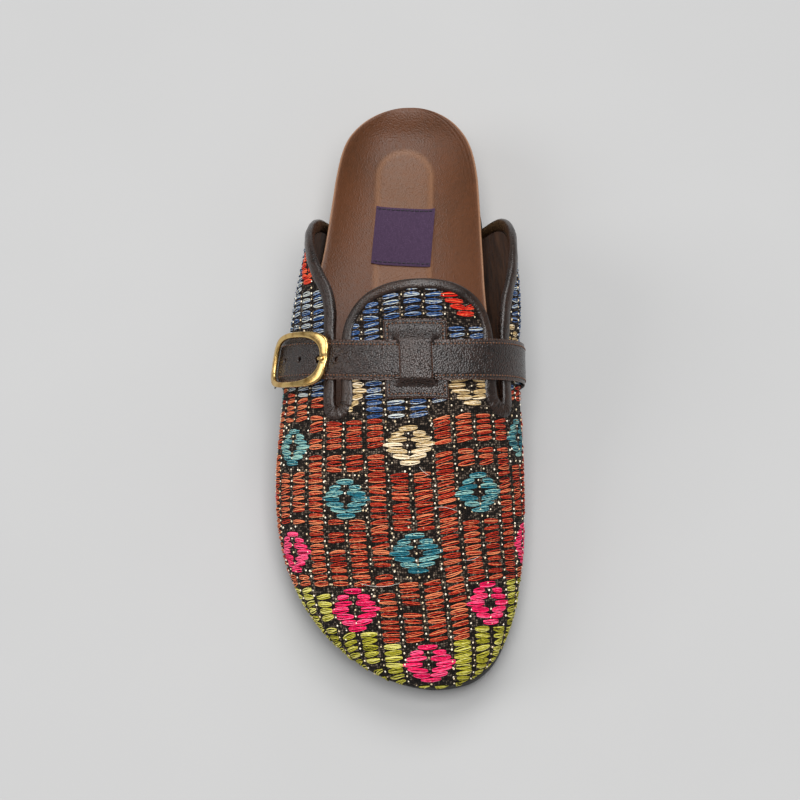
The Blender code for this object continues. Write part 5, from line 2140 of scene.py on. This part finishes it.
@dataclass
class Keeper:
    """Leather patch on the tongue whose loop holds the strap down, in millimetres."""

    last: Last
    thickness: float = 1.4
    station: float = 161.6
    middle: float = 0.6
    stitch_inset: float = 1.9
    stitch_pitch: float = 1.75
    stitch_end: float = 1.6
    thread_radius: float = 0.34
    tab_half: float = 14.8
    loop_half: float = 7.4
    tab_lift: float = 0.5
    loop_lift: float = 3.8
    ends: Pair = (-18.0, 17.4)
    loop: Pair = (-7.5, 8.9)
    climb: Pair = (7.5, 3.8)
    climb_start: float = 0.6

    def lift(self, along: Array, across: Array) -> Array:
        """Height of the underside: low on the tabs, climbing over the strap within the loop's width.

        Args:
            along: Places along the patch.
            across: Places across it.

        Returns:
            Heights over the last.
        """
        back, front = self.loop
        rise = ease(back - self.climb[0], back + self.climb_start, along)
        rise = rise * (1.0 - ease(front - self.climb_start, front + self.climb[1], along))
        beyond = np.maximum(np.maximum(back - along, along - front), 0.0)
        rise = rise * (1.0 - ease(0.0, 1.0, (np.abs(across) - self.loop_half + 0.3) / (1.8 + 0.9 * beyond)))
        return self.tab_lift + (self.loop_lift - self.tab_lift) * rise

    def lie(self, along: Array, across: Array, lift: Array) -> Array:
        """Point over the tongue from places along and across the patch."""
        return self.last.point(self.station + along, self.middle + across, lift)

    def build(self) -> None:
        """Make the patch, thinned at its edge and crowned over the loop, and its stitches."""
        low, high = self.ends
        along = np.concatenate([np.linspace(low, high, 110), self.loop, np.array(self.loop) * 1.02])
        along = np.unique(along)[:, None]
        in_loop = (along > self.loop[0]) & (along < self.loop[1])
        half = np.where(in_loop, self.loop_half, self.tab_half)
        across = half * crowded(61)
        along = np.broadcast_to(along, across.shape)
        inset = np.minimum(half - np.abs(across), np.minimum(along - low, high - along))
        lift = self.lift(along, across)
        puff = self.thickness * (0.6 + 0.4 * ease(0.0, 1.0, inset))
        puff = puff - 0.2 * np.exp(-((inset - self.stitch_inset) / 0.5)**2) * ~in_loop
        puff = puff + 0.35 * ease(2.0, 3.8, lift) * np.cos(np.pi / 2 * across / self.loop_half)
        # Paler at the cut edges, and a little paler over the loop's raised top.
        wear = 0.5 * (1.0 - ease(0.1, 0.7, inset)) + 0.1 * ease(2.4, 3.8, lift)
        leather_slab("keeper", self.lie(along, across, lift + puff), self.lie(along, across, lift), wear)
        self.build_stitches()

    def build_stitches(self) -> None:
        """Stitches inside the outline of both tabs, each a short thread dipping at its ends."""
        wide = self.tab_half - self.stitch_inset
        t = np.linspace(0.22, 0.78, 5)
        paths = []
        for sign, end, loop in zip((-1.0, 1.0), self.ends, self.loop):
            far, near = end - sign * self.stitch_inset, loop + sign * self.stitch_end
            line = np.array([(near, -wide), (far, -wide), (far, wide), (near, wide)])
            at = even_steps(np.c_[line, np.zeros(len(line))], self.stitch_pitch)
            spot = pick(line, (at[:-1, None] + np.diff(at)[:, None] * t).ravel())
            along, across = spot.T.reshape(2, -1, len(t))
            lift = self.lift(along, across) + 0.92 * self.thickness + 0.14 - 3.0 * (t - 0.5)**2
            paths.append(self.lie(along, across, lift))
        sew("keeper", np.concatenate(paths), self.thread_radius)


@dataclass
class Buckle:
    """Cast brass frame round the strap with its prong, in millimetres."""

    strap: Strap
    across: float = -60.7
    shift: float = 0.3
    length: float = 38.0
    width: float = 25.2
    side_bar: float = 2.6
    upper_bar: float = 4.1
    lower_bar: float = 3.7
    thickness: float = 2.4
    outer_power: Pair = (0.7, 0.54)
    inner_power: Pair = (0.58, 0.82)
    notch_depth: float = 0.7
    notch_half: float = 1.5
    prong_hole: int = 1
    prong_radius: float = 1.0
    prong: Table = table("across lift", (0.9, -2.7), (1.0, 0.9), (1.8, 2.6), (4.6, 1.8))

    def over_strap(self, across: Array) -> Array:
        """Height just over the strap's upper face."""
        return self.strap.height(across) + self.strap.thickness + GAP

    def build(self) -> None:
        """Make the frame, a rounded bar between two squared ovals with a notch, and the prong."""
        angle = round_turn(160)
        wave = stack(np.cos(angle), np.sin(angle))
        upper = wave[:, :1] > 0.0
        outer = squared(wave, np.where(upper, *self.outer_power[::-1]))
        outer = outer * np.array([self.length, self.width]) / 2
        inner = squared(wave, np.where(upper, *self.inner_power[::-1]))
        end = self.length / 2 - np.where(upper, self.upper_bar, self.lower_bar)
        inner = inner * np.concatenate([end, np.full(end.shape, self.width / 2 - self.side_bar)], axis=1)
        turn = round_turn(32)
        inward = (0.5 - 0.5 * squared(np.cos(turn), 0.7))**1.25
        rise = 0.5 + 0.5 * squared(np.sin(turn), 0.8)
        flat = outer[:, None] + inward[None, :, None] * (inner - outer)[:, None]
        across, aside = self.across + flat[..., 0], flat[..., 1] + self.shift
        notch = self.notch_depth * np.exp(-(aside / self.notch_half)**2) * (flat[..., 0] > 0.0)
        lift = self.over_strap(across) + rise * (self.thickness - notch)
        frame_skin = tube(self.strap.lie(across, aside, lift), loop=True)
        place(frame_skin, "buckle_frame", [BRASS], ("buckle_frame",))
        self.build_prong()

    def build_prong(self) -> None:
        """Prong: a round pin along a cubic Bezier, up through the strap's hole and over the upper bar."""
        t = np.linspace(0.0, 1.0, 24)
        hole = self.strap.holes["across"][self.prong_hole]
        across = hole + self.prong["across"] @ bezier(t)
        lift = self.over_strap(np.array(hole)) + self.prong["lift"] @ bezier(t)
        ahead = unit(np.gradient(stack(across, lift), axis=0))
        size = self.prong_radius * np.sqrt(1.0 - 0.9 * ease(0.86, 1.02, t[:, None])**2)
        turn = round_turn(12)
        across = across[:, None] - ahead[:, 1:] * size * np.sin(turn)
        lift = lift[:, None] + ahead[:, :1] * size * np.sin(turn)
        pin = tube(self.strap.lie(across, size * np.cos(turn), lift))
        place(pin, "buckle_prong", [BRASS], ("buckle_prong",))


# Studio

@dataclass
class Studio:
    """Pale paper floor, soft lights and the camera, in millimetres and watts."""

    floor_half: float = 2500.0
    floor_points: int = 9
    floor_thickness: float = 20.0
    camera_place: tuple[float, float, float] = (61.0, -602.7, 1308.8)
    camera_aim: tuple[float, float, float] = (-2.0, -11.0, 40.0)
    camera_elevation: float = 65.0
    lens: float = 130.3
    sensor: float = 36.0
    farthest: float = 20000.0
    sky: str = "#ffffff"
    sky_strength: float = 0.3
    lights: dict[str, tuple[float, ...]] = field(default_factory=lambda: {
        "front_softbox": (250.0, -640.0, 2800.0, 1500.0, 62.0),
        "back_softbox": (250.0, 1300.0, 2400.0, 1600.0, 40.0),
        "side_softbox": (-1800.0, -200.0, 1500.0, 1200.0, 14.0)})

    def build(self) -> None:
        """Make the floor, the lights, the sky and the camera."""
        line = np.linspace(-self.floor_half, self.floor_half, self.floor_points)
        grid = np.stack(np.meshgrid(line, line, [0.0], indexing="ij"), axis=-1)[:, :, 0]
        mesh = slab(grid, grid - np.array([0.0, 0.0, self.floor_thickness])).mesh("floor")
        mesh.materials.append(material(PAPER))
        floor = bpy.data.objects.new("floor", mesh)
        bpy.context.scene.collection.objects.link(floor)
        floor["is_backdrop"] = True
        for name, (*at, size, power) in self.lights.items():
            lamp = bpy.data.lights.new(name, "AREA")
            lamp.size = size * MM
            lamp.energy = power
            self.stand(name, lamp, at)
        world = bpy.data.worlds.new("studio_sky")
        world.use_nodes = True
        sky = world.node_tree.nodes["Background"].inputs
        sky["Color"].default_value = linear(self.sky)
        sky["Strength"].default_value = self.sky_strength
        bpy.context.scene.world = world
        bpy.context.scene.view_settings.view_transform = "Standard"
        camera = bpy.data.cameras.new("camera")
        camera.lens = self.lens
        camera.sensor_width = self.sensor
        camera.clip_end = self.farthest * MM
        bpy.context.scene.camera = self.stand("camera", camera, self.camera_place)

    def stand(self, name: str, data: bpy.types.ID, at: tuple[float, float, float]) -> bpy.types.Object:
        """Put a light or the camera at a place, looking at the shoe, turned as the photograph is.

        Args:
            name: Name of the object.
            data: The light or the camera.
            at: Its place.

        Returns:
            The object.
        """
        back = (Vector(at) - Vector(self.camera_aim)).normalized()
        tilt = math.radians(self.camera_elevation)
        right = Vector((0.0, math.sin(tilt), math.cos(tilt))).cross(back).normalized()
        turn = Matrix((right, back.cross(right), back)).transposed()
        item = bpy.data.objects.new(name, data)
        item.matrix_world = Matrix.Translation(Vector(at) * MM) @ turn.to_4x4()
        bpy.context.scene.collection.objects.link(item)
        return item


def main() -> None:
    """Build every sub-assembly of the clog in order, then the studio."""
    logging.basicConfig(level=logging.INFO, format="%(name)s: %(message)s")
    plan = SolePlan()
    last = Last(plan)
    collar = Collar(last)
    strap = Strap(last)
    sole = Sole(plan)
    sole.build()
    Label(sole).build()
    WovenUpper(last, collar).build()
    Binding(last, collar).build()
    strap.build()
    Keeper(last).build()
    Buckle(strap).build()
    Studio().build()
    boxes = {"cad": CAD_BOX, "visual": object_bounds()}
    {name: [[float(v) for v in corner] for corner in box] for name, box in boxes.items()}


if __name__ == "__main__":
    main()
